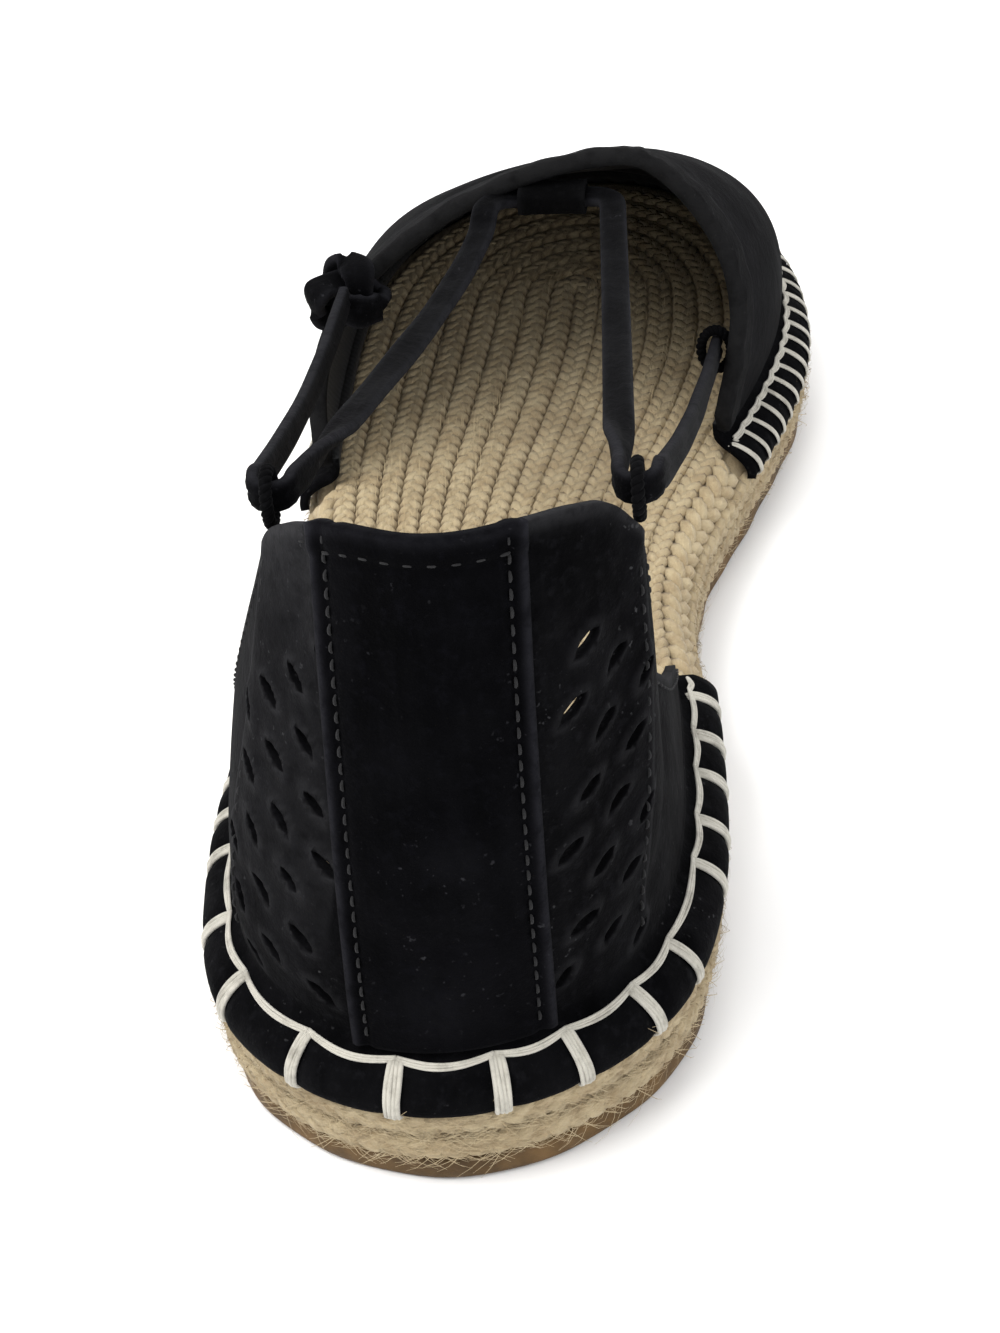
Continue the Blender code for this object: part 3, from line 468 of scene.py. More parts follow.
# Node helpers for the materials
class Recipe:
    def __init__(self, name):
        self.material = bpy.data.materials.new(name)
        self.material.use_nodes = True
        self.tree = self.material.node_tree
        self.shader = self.tree.nodes["Principled BSDF"]
        self.place = self.node("ShaderNodeTexCoord").outputs["Object"]

    def node(self, kind, links=None, **values):
        node = self.tree.nodes.new(kind)
        for key, value in values.items():
            setattr(node, key, value)
        for key, value in (links or {}).items():
            if isinstance(value, bpy.types.NodeSocket):
                self.tree.links.new(value, node.inputs[key])
            else:
                node.inputs[key].default_value = value
        return node

    def noise(self, scale, detail=3.0, rough=0.55, place=None):
        links = {"Vector": place or self.place, "Scale": scale, "Detail": detail, "Roughness": rough}
        return self.node("ShaderNodeTexNoise", links).outputs["Fac"]

    def ramp(self, value, low, high, start=0.0, end=1.0):
        links = {"Value": value, "From Min": low, "From Max": high, "To Min": start, "To Max": end}
        return self.node("ShaderNodeMapRange", links, interpolation_type="SMOOTHSTEP").outputs["Result"]

    def mix(self, share, first, second):
        node = self.node("ShaderNodeMix", data_type="RGBA")
        for index, value in ((0, share), (6, first), (7, second)):
            if isinstance(value, bpy.types.NodeSocket):
                self.tree.links.new(value, node.inputs[index])
            else:
                node.inputs[index].default_value = value if index == 0 else (*value, 1)
        return node.outputs[2]

    def math(self, kind, first, second):
        return self.node("ShaderNodeMath", {0: first, 1: second}, operation=kind).outputs[0]

    def value(self, name):
        return self.node("ShaderNodeAttribute", attribute_name=name).outputs["Fac"]

    def bump(self, height, strength, distance, before=None):
        links = {"Height": height, "Strength": strength, "Distance": distance}
        if before:
            links["Normal"] = before
        return self.node("ShaderNodeBump", links).outputs["Normal"]

    def stretch(self, sizes):
        return self.node("ShaderNodeMapping", {"Vector": self.place, "Scale": sizes}).outputs["Vector"]

    def set(self, **values):
        for key, value in values.items():
            socket = self.shader.inputs[key.replace("_", " ")]
            if isinstance(value, bpy.types.NodeSocket):
                self.tree.links.new(value, socket)
            else:
                socket.default_value = value
        return self.material


# Napped suede: brushed patches, short fibres, pale scuffs, lighter where the value "wear" says: rubbed
# wear, and painted highlight on the slots' lips and the cuff's fold
def suede(name, dark, light, wornAndLit, scuffs):
    r = Recipe(name)
    patches = r.ramp(r.noise(75, 4, 0.6), 0.3, 0.72)
    brushed = r.ramp(r.noise(1.0, 3, 0.6, r.stretch((260, 180, 60))), 0.35, 0.7)
    nap = r.math("MULTIPLY_ADD", patches, 0.6)
    r.tree.links.new(r.math("MULTIPLY", brushed, 0.4), nap.node.inputs[2])
    colour = r.mix(nap, dark, light)
    rubbed = r.ramp(r.noise(420, 3), 0.25, 0.6, 0.45, 1.0)
    # towards the pale colour by the value: rubbed wear, and painted highlight on the slots' lips and
    # the cuff's fold
    colour = r.mix(r.math("MULTIPLY", r.value("wear"), rubbed), colour, wornAndLit)
    specks = r.math("MULTIPLY", r.ramp(r.noise(900, 2), 0.66, 0.76), r.ramp(r.noise(60, 2), 0.42, 0.66))
    colour = r.mix(r.math("MULTIPLY", specks, scuffs), colour, tuple(1.2 * c + 0.012 for c in wornAndLit))
    fuzz = r.noise(2600, 2, 0.6)
    grain = r.noise(520, 4, 0.65)
    colour = r.mix(r.ramp(grain, 0.5, 0.72, 0, 0.55), colour, tuple(1.9 * c for c in light))
    normal = r.bump(grain, 0.6, 0.0005)
    normal = r.bump(fuzz, 0.5, 0.00015, normal)
    return r.set(Base_Color=colour, Roughness=r.ramp(nap, 0, 1, 0.95, 0.82), Normal=normal,
                 Sheen_Weight=0.007, Sheen_Roughness=0.45, Sheen_Tint=(0.75, 0.77, 0.85, 1),
                 Specular_IOR_Level=0.03)


# Woven textile lining, dark, with a fine square weave
def liningCloth(name, dark, light):
    r = Recipe(name)
    waves = {"Vector": r.place, "Scale": 420.0, "Distortion": 1.5}
    weave = r.node("ShaderNodeTexWave", waves, bands_direction="DIAGONAL")
    colour = r.mix(r.ramp(r.noise(160, 3), 0.3, 0.7), dark, light)
    normal = r.bump(weave.outputs["Fac"], 0.3, 0.0002)
    return r.set(Base_Color=colour, Roughness=0.9, Normal=normal, Sheen_Weight=0.03)


# Jute: straw to tan with single fibres, with painted shade down in the creases that the value
# "paintedShade" marks
def jute(name, straw, tan, deep):
    r = Recipe(name)
    colour = r.mix(r.ramp(r.noise(230, 4, 0.6), 0.3, 0.7), straw, tan)
    fibre = r.noise(1.0, 4, 0.7, r.stretch((1500, 420, 1900)))
    colour = r.mix(r.ramp(fibre, 0.45, 0.8, 0, 0.5), colour, tuple(min(1, c * 1.35) for c in straw))
    # painted shade: darker towards the deep tone where the value says the strands dip in
    colour = r.mix(r.ramp(r.value("paintedShade"), 0.35, 1.0, 0, 0.85), colour, deep)
    soil = r.math("MULTIPLY", r.ramp(r.noise(35, 3), 0.5, 0.75), 0.35)
    colour = r.mix(soil, colour, deep)
    normal = r.bump(fibre, 0.7, 0.0006)
    normal = r.bump(r.noise(2400, 2), 0.4, 0.0002, normal)
    return r.set(Base_Color=colour, Roughness=0.92, Normal=normal,
                 Sheen_Weight=0.1, Sheen_Roughness=0.5)


# Crepe-like rubber: mottled amber with fine pits
def rubber(name, amber, brown):
    r = Recipe(name)
    colour = r.mix(r.ramp(r.noise(140, 4, 0.65), 0.3, 0.7), amber, brown)
    colour = r.mix(r.ramp(r.noise(26, 3), 0.45, 0.7, 0, 0.5), colour, tuple(0.55 * c for c in brown))
    waves = {"Vector": r.place, "Scale": 95.0, "Distortion": 2.0}
    tread = r.node("ShaderNodeTexWave", waves, bands_direction="Y")
    normal = r.bump(tread.outputs["Fac"], 0.25, 0.0003)
    normal = r.bump(r.noise(900, 4, 0.7), 0.45, 0.0004, normal)
    return r.set(Base_Color=colour, Roughness=r.ramp(r.noise(300, 2), 0, 1, 0.5, 0.8), Normal=normal,
                 Specular_IOR_Level=0.25)


# Wool yarn: off-white, with fine fibres, a little soil and painted shade where the value "paintedShade"
# says
def yarn(name, pale, grey, sheen=0.3):
    r = Recipe(name)
    colour = r.mix(r.ramp(r.noise(330, 4, 0.65), 0.42, 0.75, 0, 0.8), pale, grey)
    # painted shade where the value "paintedShade" says; the hem yarn and the stitching give it zero
    colour = r.mix(r.ramp(r.value("paintedShade"), 0.4, 1.0, 0, 0.6), colour, tuple(0.45 * c for c in grey))
    normal = r.bump(r.noise(1.0, 3, 0.7, r.stretch((2100, 2100, 1300))), 0.6, 0.0004)
    return r.set(Base_Color=colour, Roughness=0.95, Normal=normal,
                 Sheen_Weight=sheen, Sheen_Roughness=0.4)


# Dark, light and pale colours of each suede (the pale one for rubbed wear and painted highlight), then
# how far its scuffs show
charcoal = (0.0006, 0.0006, 0.0008)
suedes = {
    "vampSuede": (charcoal, (0.0026, 0.0026, 0.0032), (0.018, 0.018, 0.020), 0.5),
    "cuffSuede": ((0.0016, 0.0016, 0.0018), (0.0046, 0.0046, 0.0050), (0.014, 0.014, 0.0145), 0.6),
    "quarterSuede": (charcoal, (0.0030, 0.0030, 0.0036), (0.024, 0.024, 0.026), 0.8),
    "staySuede": ((0.0003, 0.0003, 0.0005), (0.0012, 0.0012, 0.0018), (0.012, 0.012, 0.015), 0.7),
    # the tab's suede is darker than the rest: painted shade, so that it reads as shadow under the
    # vamp's rim
    "tabSuedePaintedShade": ((0.0005, 0.0005, 0.0006), (0.0016, 0.0016, 0.0018), (0.004, 0.004, 0.0045), 0.5),
    "laceSuede": ((0.0008, 0.0008, 0.0010), (0.0026, 0.0026, 0.0032), (0.013, 0.013, 0.0155), 0.8),
    "loopCord": ((0.0010, 0.0010, 0.0012), (0.0034, 0.0034, 0.0038), (0.012, 0.012, 0.014), 0.4),
}
vampSuede, cuffSuede, quarterSuede, staySuede, tabSuedePaintedShade, laceSuede, loopCord = (
    suede(name, *colours) for name, colours in suedes.items())
darkLining = liningCloth("darkLining", (0.0012, 0.0012, 0.0014), (0.0040, 0.0040, 0.0045))
juteFibre = jute("juteFibre", (0.45, 0.365, 0.225), (0.34, 0.257, 0.145), (0.115, 0.078, 0.040))
soleRubber = rubber("soleRubber", (0.140, 0.080, 0.029), (0.064, 0.036, 0.013))
woolYarn = yarn("woolYarn", (0.46, 0.44, 0.385), (0.24, 0.225, 0.19))
blackThread = yarn("blackThread", (0.0045, 0.0045, 0.0054), (0.0018, 0.0018, 0.0022), 0.01)
print("materials made")

# Lace: a flat folded suede lace, laid from the inner loop to the knot
lace = {
    "width": 0.0045,
    "thickness": 0.0022,
    "turnRadius": 0.0025,
    "twistLength": 0.030,  # over which the lace turns from flat to its edge
    "sag": {"inner": 0.0030, "outer": 0.0050},
    "returnSag": 0.0030,
    "sagSkew": {"inner": 0.9, "outer": 0.55},  # below 1 the lowest place lies nearer the vamp
    "groove": 0.32,
    "wobble": (0.10, 0.07),
    "edgeWear": 0.9,
    "step": 0.0012,
}
loops = {
    "cord": 0.0018,
    "heelAt": 0.33,  # share of the wing's length
    "vampOnRim": 0.26,  # share of the way up the rim
    "vampBeyondRim": 0.0035,
    "twists": 11,
    "plyOff": 0.22,  # as shares of the cord's thickness
    "plyRadius": 0.31,
}
tab = {
    "width": 0.0115,
    "wall": 0.0009,
    "onRim": 0.90,  # share of the way up the rim
    "behindRim": 0.0012,
}
knot = {
    "cord": 0.0034,
    "reach": 0.0068,
    "strapWidth": 0.0054,
    "strapThickness": 0.0026,
    "groove": 0.30,
    "turnReach": 0.0056,
    "turnDepth": 0.0027,
    "wide": 1.05,
    "tall": 0.9,
    "ripple": 0.0003,
    "bulge": 0.006,
    "tilt": (0.35, 0.15),
    "squeeze": 0.10,
    "edgeWear": 0.8,
    "onRim": 0.57,
    "behindRim": 0.0028,
    "aboveRim": 0.0010,
}
gap = 0.0003  # least room between two pieces


# x = ridge + across * half width + bulge, for a height on the vamp's side
def vampWall(side, y, z):
    rise = z - soleTop(shareOf(y))
    across = (1 - np.clip(rise / ridgeHeight(y), 0, 1) ** 2) ** (1 / fullness[side])
    bulge = sideBulge[side] * math.sin(math.pi * np.clip(rise / instepHeight, 0, 1))
    return ridgeX(y) + across * (wallX(y, side) - ridgeX(y)) + bulge * (1 if side == "inner" else -1)


# A place on the vamp's rim, in space
def rimPlace(side, share):
    x, y = rimPoint(side, share)
    z = float(soleTop(shareOf(y)) + vampHeight(x, y))
    return np.array([vampWall(side, y, z), y, z])


# Middle of the vamp's loop, inside the wall and a little below the rim
def vampLoopPlace():
    at = rimPlace("inner", loops["vampOnRim"])
    y, z = at[1] + loops["vampBeyondRim"], at[2] - lace["width"] / 2
    inset = wall + 3.5 * gap + loops["cord"] + lace["thickness"] / 2
    return np.array([vampWall("inner", y, z) - inset, y, z])


# Middle of the tab, under the vamp behind its rim
def tabPlace():
    x, y = rimPoint("outer", tab["onRim"]) - (0, tab["behindRim"])
    front = y + lace["width"] / 2 + gap + tab["wall"]
    under = float(soleTop(shareOf(front)) + vampHeight(x, front)) - wall * 1.1
    return np.array([x, y, under - 4 * gap - tab["wall"] - lace["thickness"] / 2])


knotPlace = rimPlace("outer", knot["onRim"]) + (0, -knot["behindRim"], knot["aboveRim"])


# Middle of a loop on the quarter's top edge, and the way out of the shoe there
def heelLoopPlace(side):
    sign = 1 if side == "inner" else -1
    end = np.interp(angleAt(wingReach[side]), fineAngles, footLength[side])
    around = angleOf(sign * loops["heelAt"] * end) + np.array([-1, 0, 1]) * 1e-3
    before, edge, after = quarterPoint(around, quarterTop(around))
    outward = quarterFrame(around, quarterTop(around))[3][1]
    offEdge = np.cross(outward, unit(after - before))
    offEdge *= np.sign(offEdge[2])
    reach = (lace["width"] + lace["thickness"]) / 4 + loops["cord"] + 3 * gap
    return edge - outward * wall / 2 + offEdge * reach, outward


# Where the lace bends beside the tab
def throatCorner(side):
    reach = tab["width"] / 2 + lace["width"]
    return tabPlace() + (reach if side == "inner" else -reach, 0, 0)


# Middle of a heel loop, the way forwards between its two lace stretches, and across
def heelLoopFrame(side):
    middle, outward = heelLoopPlace(side)
    far = vampLoopPlace() if side == "inner" else knotPlace
    level = np.array([1, 1, 0])
    forward = unit(((throatCorner(side) + far) / 2 - middle) * level)
    return middle, forward, unit((outward - forward * np.dot(outward, forward)) * level)


# point = (1-t)^2 start + 2t(1-t) corner + t^2 end
def bend(start, corner, end, steps):
    t = np.linspace(0, 1, steps + 1)[1:-1, None]
    return (1 - t) ** 2 * start + 2 * t * (1 - t) * corner + t * t * end


# point = straight line - sag * sin(pi t^skew) in Z
def bar(start, end, sag, skew, steps):
    t = np.linspace(0, 1, steps + 1)[:, None]
    return start + (end - start) * t - sag * np.sin(math.pi * t ** skew) * np.array([0, 0, 1])


# point = loop's middle + turn radius * (forward * (1 - cos) + across * sin), half way round
def heelTurn(side):
    middle, forward, across = heelLoopFrame(side)
    turn = np.radians(np.linspace(-90, 90, 13))[:, None]
    return middle + lace["turnRadius"] * (forward * (1 - np.cos(turn)) + across * np.sin(turn))


# The lace's whole line, with how flat it lies: 0 on its edge, 1 flat
def laceRoute():
    middle = tabPlace()
    aside = np.array([tab["width"] / 2 + gap, 0, 0])
    corner = {side: throatCorner(side) for side in ("inner", "outer")}
    turn = {side: heelTurn(side) for side in corner}
    leave, bars = {}, {}
    for side, at in corner.items():
        leave[side] = at + unit(turn[side][0] - at) * lace["width"] * 1.4
        bars[side] = bar(leave[side], turn[side][0], lace["sag"][side], lace["sagSkew"][side], 24)
    start = vampLoopPlace()
    intoKnot = knot["reach"] * 0.5 + knot["cord"] / 2 + gap
    knotEnd = knotPlace - unit(knotPlace - turn["outer"][-1]) * intoKnot
    parts = [
        (np.array([start + unit(start - turn["inner"][-1]) * lace["width"]]), 0, 0),
        (bar(start, turn["inner"][-1], lace["returnSag"], 1, 20)[:-1], 0, 0),
        (turn["inner"][::-1], 0, 0),
        (bars["inner"][-2::-1], 0, 1),
        (bend(leave["inner"], corner["inner"], middle + aside, 8), 1, 1),
        (np.array([middle + aside, middle - aside]), 1, 1),
        (bend(middle - aside, corner["outer"], leave["outer"], 8), 1, 1),
        (bars["outer"][:-1], 1, 0),
        (turn["outer"], 0, 0),
        (bar(turn["outer"][-1], knotEnd, lace["returnSag"], 1, 20)[1:], 0, 0),
    ]
    points, flat = [], []
    for stretch, first, last in parts:
        length = runAlong(stretch)
        toEnd = length if last > first else length[-1] - length
        share = ease((toEnd + lace["turnRadius"]) / lace["twistLength"])
        points.append(stretch)
        flat.append(share if first != last else np.full(len(stretch), float(first)))
    return np.concatenate(points), np.concatenate(flat)


# Section: a = w/2 cos^0.75, b = h/2 sin^0.6, less a groove down the middle and a shallow one each side
def laceProfile(width, thickness, groove, sides=20):
    turn = np.linspace(0, 2 * math.pi, sides, endpoint=False)
    a = width / 2 * np.sign(np.cos(turn)) * np.abs(np.cos(turn)) ** 0.75
    b = thickness / 2 * np.sign(np.sin(turn)) * np.abs(np.sin(turn)) ** 0.6
    b = b * (1 - groove * bell(a, width * 0.10) - 0.18 * bell(np.abs(a) - width * 0.3, width * 0.06))
    return np.stack([a, b], 1), np.clip(np.abs(a) / (width / 2), 0, 1) ** 6


# Lace: the section swept along the route, turned by 90 degrees * how flat it lies
def buildLace():
    route, flat = laceRoute()
    length = runAlong(route)
    path = evenLine(route, lace["step"])
    here = np.linspace(0, 1, len(path))
    share = np.interp(here * length[-1], length, flat)
    along = unit(np.gradient(path, axis=0))
    level = unit(np.cross(along, np.array([0, 0, 1.0])))
    lifted = np.cross(level, along)
    wobble = lace["wobble"][0] * np.sin(here * 41) + lace["wobble"][1] * np.sin(here * 97 + 1.3)
    turn = (share * math.pi / 2 + wobble * (0.3 + 0.7 * share))[:, None]
    normal = level * np.cos(turn) + lifted * np.sin(turn)
    profile, edge = laceProfile(lace["width"], lace["thickness"], lace["groove"])
    points = sweep(path, normal, profile)
    count = len(profile)
    ends = [list(range(count)), list(range((len(path) - 1) * count, len(path) * count))[::-1]]
    wear = np.tile(edge, len(path)) * lace["edgeWear"]
    faces = gridFaces(len(path), count, True)[:, ::-1]
    piece = addPiece("laceStrap", points, faces, [laceSuede], {"wear": wear},
                     ["lace"], ends)
    return piece, path


# Knot: an overhand turn of flat lace, x = sin t + 2 sin 2t, y = cos t - 2 cos 2t, depth = -sin 3t
def buildKnot():
    turn = np.linspace(0, 2 * math.pi, 220, endpoint=False)
    across = np.array([1.0, 0, 0])
    facing = unit(np.array([0, -0.8, 0.6]))
    upward = np.cross(facing, across)
    wide = (np.sin(turn) + 2 * np.sin(2 * turn)) / 3 * knot["turnReach"] * knot["wide"]
    tall = (np.cos(turn) - 2 * np.cos(2 * turn)) / 3 * knot["turnReach"] * knot["tall"]
    deep = -np.sin(3 * turn) * knot["turnDepth"] + knot["ripple"] * np.sin(7 * turn)
    path = knotPlace + wide[:, None] * across - tall[:, None] * upward + deep[:, None] * facing
    outward = unit(path - knotPlace + (np.sign(deep) * knot["bulge"])[:, None] * facing)
    tilt = (knot["tilt"][0] * np.sin(2 * turn + 0.6) + knot["tilt"][1] * np.sin(5 * turn))[:, None]
    along = unit(np.roll(path, -1, 0) - np.roll(path, 1, 0))
    side = unit(np.cross(along, outward))
    normal = np.cross(side, along) * np.cos(tilt) + side * np.sin(tilt)
    profile, edge = laceProfile(knot["strapWidth"], knot["strapThickness"], knot["groove"], 18)
    squeeze = (1 + knot["squeeze"] * np.sin(9 * turn + 0.5))[:, None, None]
    points = sweep(path, normal, profile[None] * squeeze, True)
    count, rows = len(profile), len(path)
    faces = gridFaces(rows + 1, count, True)[:, ::-1] % (rows * count)
    wear = np.tile(edge, rows) * knot["edgeWear"]
    return addPiece("laceKnot", points, faces, [laceSuede], {"wear": wear}, ["lace_knot"])


laceStrap, lacePath = buildLace()
laceKnot = buildKnot()


# Loops: oval rings round the lace, each of two plies that turn about the ring's line
def buildLoops():
    longRadius = lace["width"] / 2 + loops["cord"] / 2 + 2.5 * gap
    shortRadius = lace["thickness"] / 2 + loops["cord"] / 2 + 2 * gap
    up = np.array([0, 0, 1.0])
    rings = []
    for side, name, slot in (("inner", "heel_loop_medial", "medial_loop_cord"),
                             ("outer", "heel_loop_lateral", "lateral_loop_cord")):
        middle, forward, _ = heelLoopFrame(side)
        rings.append((name, slot, middle, up, forward, longRadius, lace["turnRadius"]))
    rings.append(("vamp_loop_medial", "vamp_loop_cord", vampLoopPlace(), up, np.array([1.0, 0, 0]),
                  longRadius, shortRadius))
    for name, slot, middle, longWay, shortWay, far, near in rings:
        turn = np.linspace(0, 2 * math.pi, 160, endpoint=False)[:, None]
        ring = middle + longWay * far * np.cos(turn) + shortWay * near * np.sin(turn)
        along = unit(np.roll(ring, -1, 0) - np.roll(ring, 1, 0))
        outward = unit(ring - middle)
        beside = np.cross(along, outward)
        tubes = []
        for ply in (0, 1):
            phase = loops["twists"] * turn + ply * math.pi
            off = outward * np.cos(phase) + beside * np.sin(phase)
            line = ring + off * loops["cord"] * loops["plyOff"]
            tubes.append(sweep(line, outward, circle(loops["cord"] * loops["plyRadius"], 10), True))
        points, faces, _ = joinTubes(tubes, 10, True)
        addPiece("".join(part.title() for part in name.split("_")), points, faces, [loopCord],
                 {"wear": np.zeros(len(points))}, [name])


# Tab: a flat sleeve of suede round the lace; x along it, y = w cos^0.6, z = h sin^0.6, slightly pinched
def buildTab():
    x, y, z = tabPlace()
    sides, rings = 48, 16
    turn = np.linspace(0, 2 * math.pi, sides, endpoint=False)
    ends = np.linspace(-1, 1, rings)
    pinch = 1 - 0.04 * (1 - ends ** 2)
    walls = []
    for extra, at in ((tab["wall"], ends), (0.0, ends[::-1])):
        wide, high = lace["width"] / 2 + gap + extra, lace["thickness"] / 2 + gap + extra
        across = wide * np.sign(np.cos(turn)) * np.abs(np.cos(turn)) ** 0.6
        tall = high * np.sign(np.sin(turn)) * np.abs(np.sin(turn)) ** 0.6
        along = np.broadcast_to(x + at[:, None] * tab["width"] / 2, (rings, sides))
        walls.append(np.stack([along, y + pinch[:, None] * across, z + pinch[:, None] * tall], -1))
    faces = gridFaces(2 * rings + 1, sides, True) % (2 * rings * sides)
    wear = np.repeat(np.concatenate([np.abs(ends) ** 8, np.zeros(rings)]), sides)
    addPiece("ThroatTab", np.concatenate(walls), faces, [tabSuedePaintedShade], {"wear": wear},
             ["throat_tab"])


buildLoops()
buildTab()
print("loops and tab made")

# Outsole: a thin rubber sheet with rounded edges
outsole = {
    "inset": 0.0006,
    # place up the edge, inset and height as shares of the thickness
    "edge": (
        (0, 0.38, 0.0), (1, 0.12, 0.06), (2, 0.0, 0.30), (3, 0.0, 0.78), (4, 0.06, 0.95),
        (5, 0.22, 1.0),
    ),
    "edgeRings": 16,
    "waviness": 0.00025,
}
# Body under the plaits: inset and share of the side's height, then rings over the shoulder as
# inset, drop over the open waist and drop under the hem, where the body fills the band
juteBody = {
    "sides": ((0.0020, -0.02), (0.0012, 0.1), (0.0012, 0.9)),
    "shoulder": (
        (0.0014, 0.0058, 0.0038), (0.0020, 0.0046, 0.0025), (0.0030, 0.0036, 0.0013),
        (0.0050, 0.0028, 0.0009), (0.0085, 0.0022, 0.0014),
    ),
    "ledge": 0.62,  # how far the sides end below the footbed, as a share of the band's height
    # painted shade over the whole body under the plaits
    "paintedShade": 0.6,
}
# Plaits round the side: wide and deep are the weave's swings, pitch is one full turn of it
sideRows = {
    "rows": 2,
    "radius": 0.00138,
    "wide": 0.00098,
    "deep": 0.00022,
    "pitch": 0.0088,
    "sunk": 0.0005,
    "step": 0.0007,
    # how strong the painted shade between the side's plaits is
    "paintedShade": 0.72,
}
# Plaits in rings on the footbed
footbed = {
    "rings": 8,
    "inset": 0.0044,
    "sunk": 0.0012,
    "spare": 0.15,  # room outside the last ring, in rings
    "fill": 0.29,  # radius and swing as a share of the room between two rings
    "deep": 0.00022,
    "pitch": 0.0082,
    "proud": 0.0002,
    "step": 0.0008,
}
# Plait along the open waist's edges, tucked in under the hems at both ends
waistRows = {
    "inset": 0.0031,
    "sunk": 0.0032,
    "past": 0.03,  # how far it goes on under the hems, as a share of the sole's length
    "early": 0.012,  # how long before the hems it starts to turn in
    "tuck": 0.0055,
    "wide": 0.0018,
    "deep": 0.0006,
    "radius": 0.0014,
    "pitch": 0.0115,
    "step": 0.0009,
}
juteHairs = {
    "count": 21000,
    "onBed": 0.2,
    "length": (0.002, 0.007),
    "curl": 0.34,
    "rise": 0.35,
    "halfWidth": 0.00007,
    "lowest": 0.0006,
}
# How far out each closing ring lies, and the angles once round the sole
capShares = np.array([0.01, 0.2, 0.4, 0.6, 0.75, 0.9])
around = np.concatenate([np.linspace(0, math.pi, 301)[:-1], np.linspace(-math.pi, 0, 301)[:-1]])


# Middle line of the sole: y kept off both round ends, x halfway between the sides
def middleLine(plan):
    y = np.clip(plan[..., 1], -soleLength / 2 + 0.034, soleLength / 2 - 0.040)
    return np.stack([(wallX(y, "inner") + wallX(y, "outer")) / 2, y], -1)


# Rings that close over the middle line; height = the edge's + the sole's rise from there to the ring
def capRings(edge, rise, shares):
    plan, middle = edge[:, :2], middleLine(edge[:, :2])
    rings = []
    for share in shares:
        flat = middle + (plan - middle) * share
        height = edge[:, 2] + rise(shareOf(flat[:, 1])) - rise(shareOf(plan[:, 1]))
        rings.append(atHeight(flat, height))
    return rings


# Faces over the slit left along the middle line, for the first row of rings or the last
def slitFaces(row, last):
    count = len(around)
    i = np.arange(count // 2)
    near, after, far, before = i, i + 1, (count - i) % count, count - i - 1
    quads = [near, after, before, far] if last else [after, near, far, before]
    return [list(dict.fromkeys(quad)) for quad in (np.stack(quads, 1) + row * count).tolist()]


# rings = edges from the bottom up, each moved in by its inset and a slow wave, closed over the middle
def buildOutsole():
    share = shareOf(soleEdge(around, bandReach)[:, 1])
    length = lengthAt(around)
    wave = outsole["waviness"] * (np.sin(length * 190) + 0.6 * np.sin(length * 430 + 1))
    thickness = form["outsoleThickness"]
    last = outsole["edge"][-1][0]
    rings = []
    for part in np.linspace(0, last, outsole["edgeRings"]):
        inset = outsole["inset"] + smooth(outsole["edge"], part, 1) * thickness
        plan = soleEdge(around, inset - wave * math.sin(math.pi * part / last))
        height = soleLift(share) + smooth(outsole["edge"], part, 2) * thickness
        rings.append(atHeight(plan, height))
    points = np.array(capRings(rings[0], soleLift, capShares) + rings
                      + capRings(rings[-1], soleLift, capShares[::-1]))
    closing = slitFaces(0, False) + slitFaces(len(points) - 1, True)
    addPiece("Outsole", points, gridFaces(len(points), len(around), True), [soleRubber], {},
             ["outsole"], closing)


# height = outsole's top + up * the room below the ledge under the hem
def heightAt(share, up):
    low = soleLift(share) + form["outsoleThickness"] + gap
    ledge = soleTop(share) - juteBody["ledge"] * bandHeight - gap
    return low + (ledge - low) * up


# 1 under the hem, 0 over the open waist
def hemCover(angle):
    share = (1 - np.cos(angle)) / 2
    wing = np.where(angle >= 0, wingEnd["inner"], wingEnd["outer"])
    toe = np.where(angle >= 0, vampStart["inner"], vampStart["outer"])
    return np.clip(ease((wing - share) / 0.012) + ease((share - toe) / 0.012), 0, 1)


# rings = sole's edge moved in, at the side's heights, then over the shoulder and across the footbed
def buildJuteBody():
    share = shareOf(soleEdge(around, bandReach)[:, 1])
    cover = hemCover(around)
    body = []
    for inset, up in juteBody["sides"]:
        body.append(atHeight(soleEdge(around, inset), heightAt(share, up)))
    for inset, bare, filled in juteBody["shoulder"]:
        height = soleTop(share) - (bare + (filled - bare) * cover)
        body.append(atHeight(soleEdge(around, inset), height))
    points = np.array(capRings(body[0], soleLift, capShares) + body
                      + capRings(body[-1], soleTop, capShares[::-1]))
    closing = slitFaces(0, False) + slitFaces(len(points) - 1, True)
    paintedShade = np.full(points.shape[:2], juteBody["paintedShade"])
    addPiece("JuteBody", points, gridFaces(len(points), len(around), True), [juteFibre],
             {"paintedShade": paintedShade}, ["jute_sole"], closing)


# The weave's numbers in the order that plaitTubes takes them
def weaveOf(row):
    return [row[key] for key in ("wide", "deep", "radius", "pitch")]


# Outwards and up along a closed line
def aroundAxes(path):
    along = unit(np.roll(path, -1, 0) - np.roll(path, 1, 0))
    up = np.tile([0, 0, 1.0], (len(path), 1))
    return unit(np.cross(along, up)), up


# path = sole's edge at each row's height, woven in Z and outwards
def buildSideRows():
    share = shareOf(soleEdge(around, bandReach)[:, 1])
    out = sideRows["deep"] + sideRows["radius"] - sideRows["sunk"]
    sideTubes, sideDepths = [], []
    for row in range(sideRows["rows"]):
        height = heightAt(share, (row + 0.5) / sideRows["rows"])
        path = evenLine(atHeight(soleEdge(around, out), height), sideRows["step"], True)
        outward, up = aroundAxes(path)
        tubes, depths = plaitTubes(path, outward, up, *weaveOf(sideRows), True)
        sideTubes += tubes
        sideDepths += depths
    points, faces, _ = joinTubes(sideTubes, 6, True)
    addPiece("JuteSideRows", points, faces, [juteFibre],
             {"paintedShade": sideRows["paintedShade"] * np.concatenate(sideDepths)})


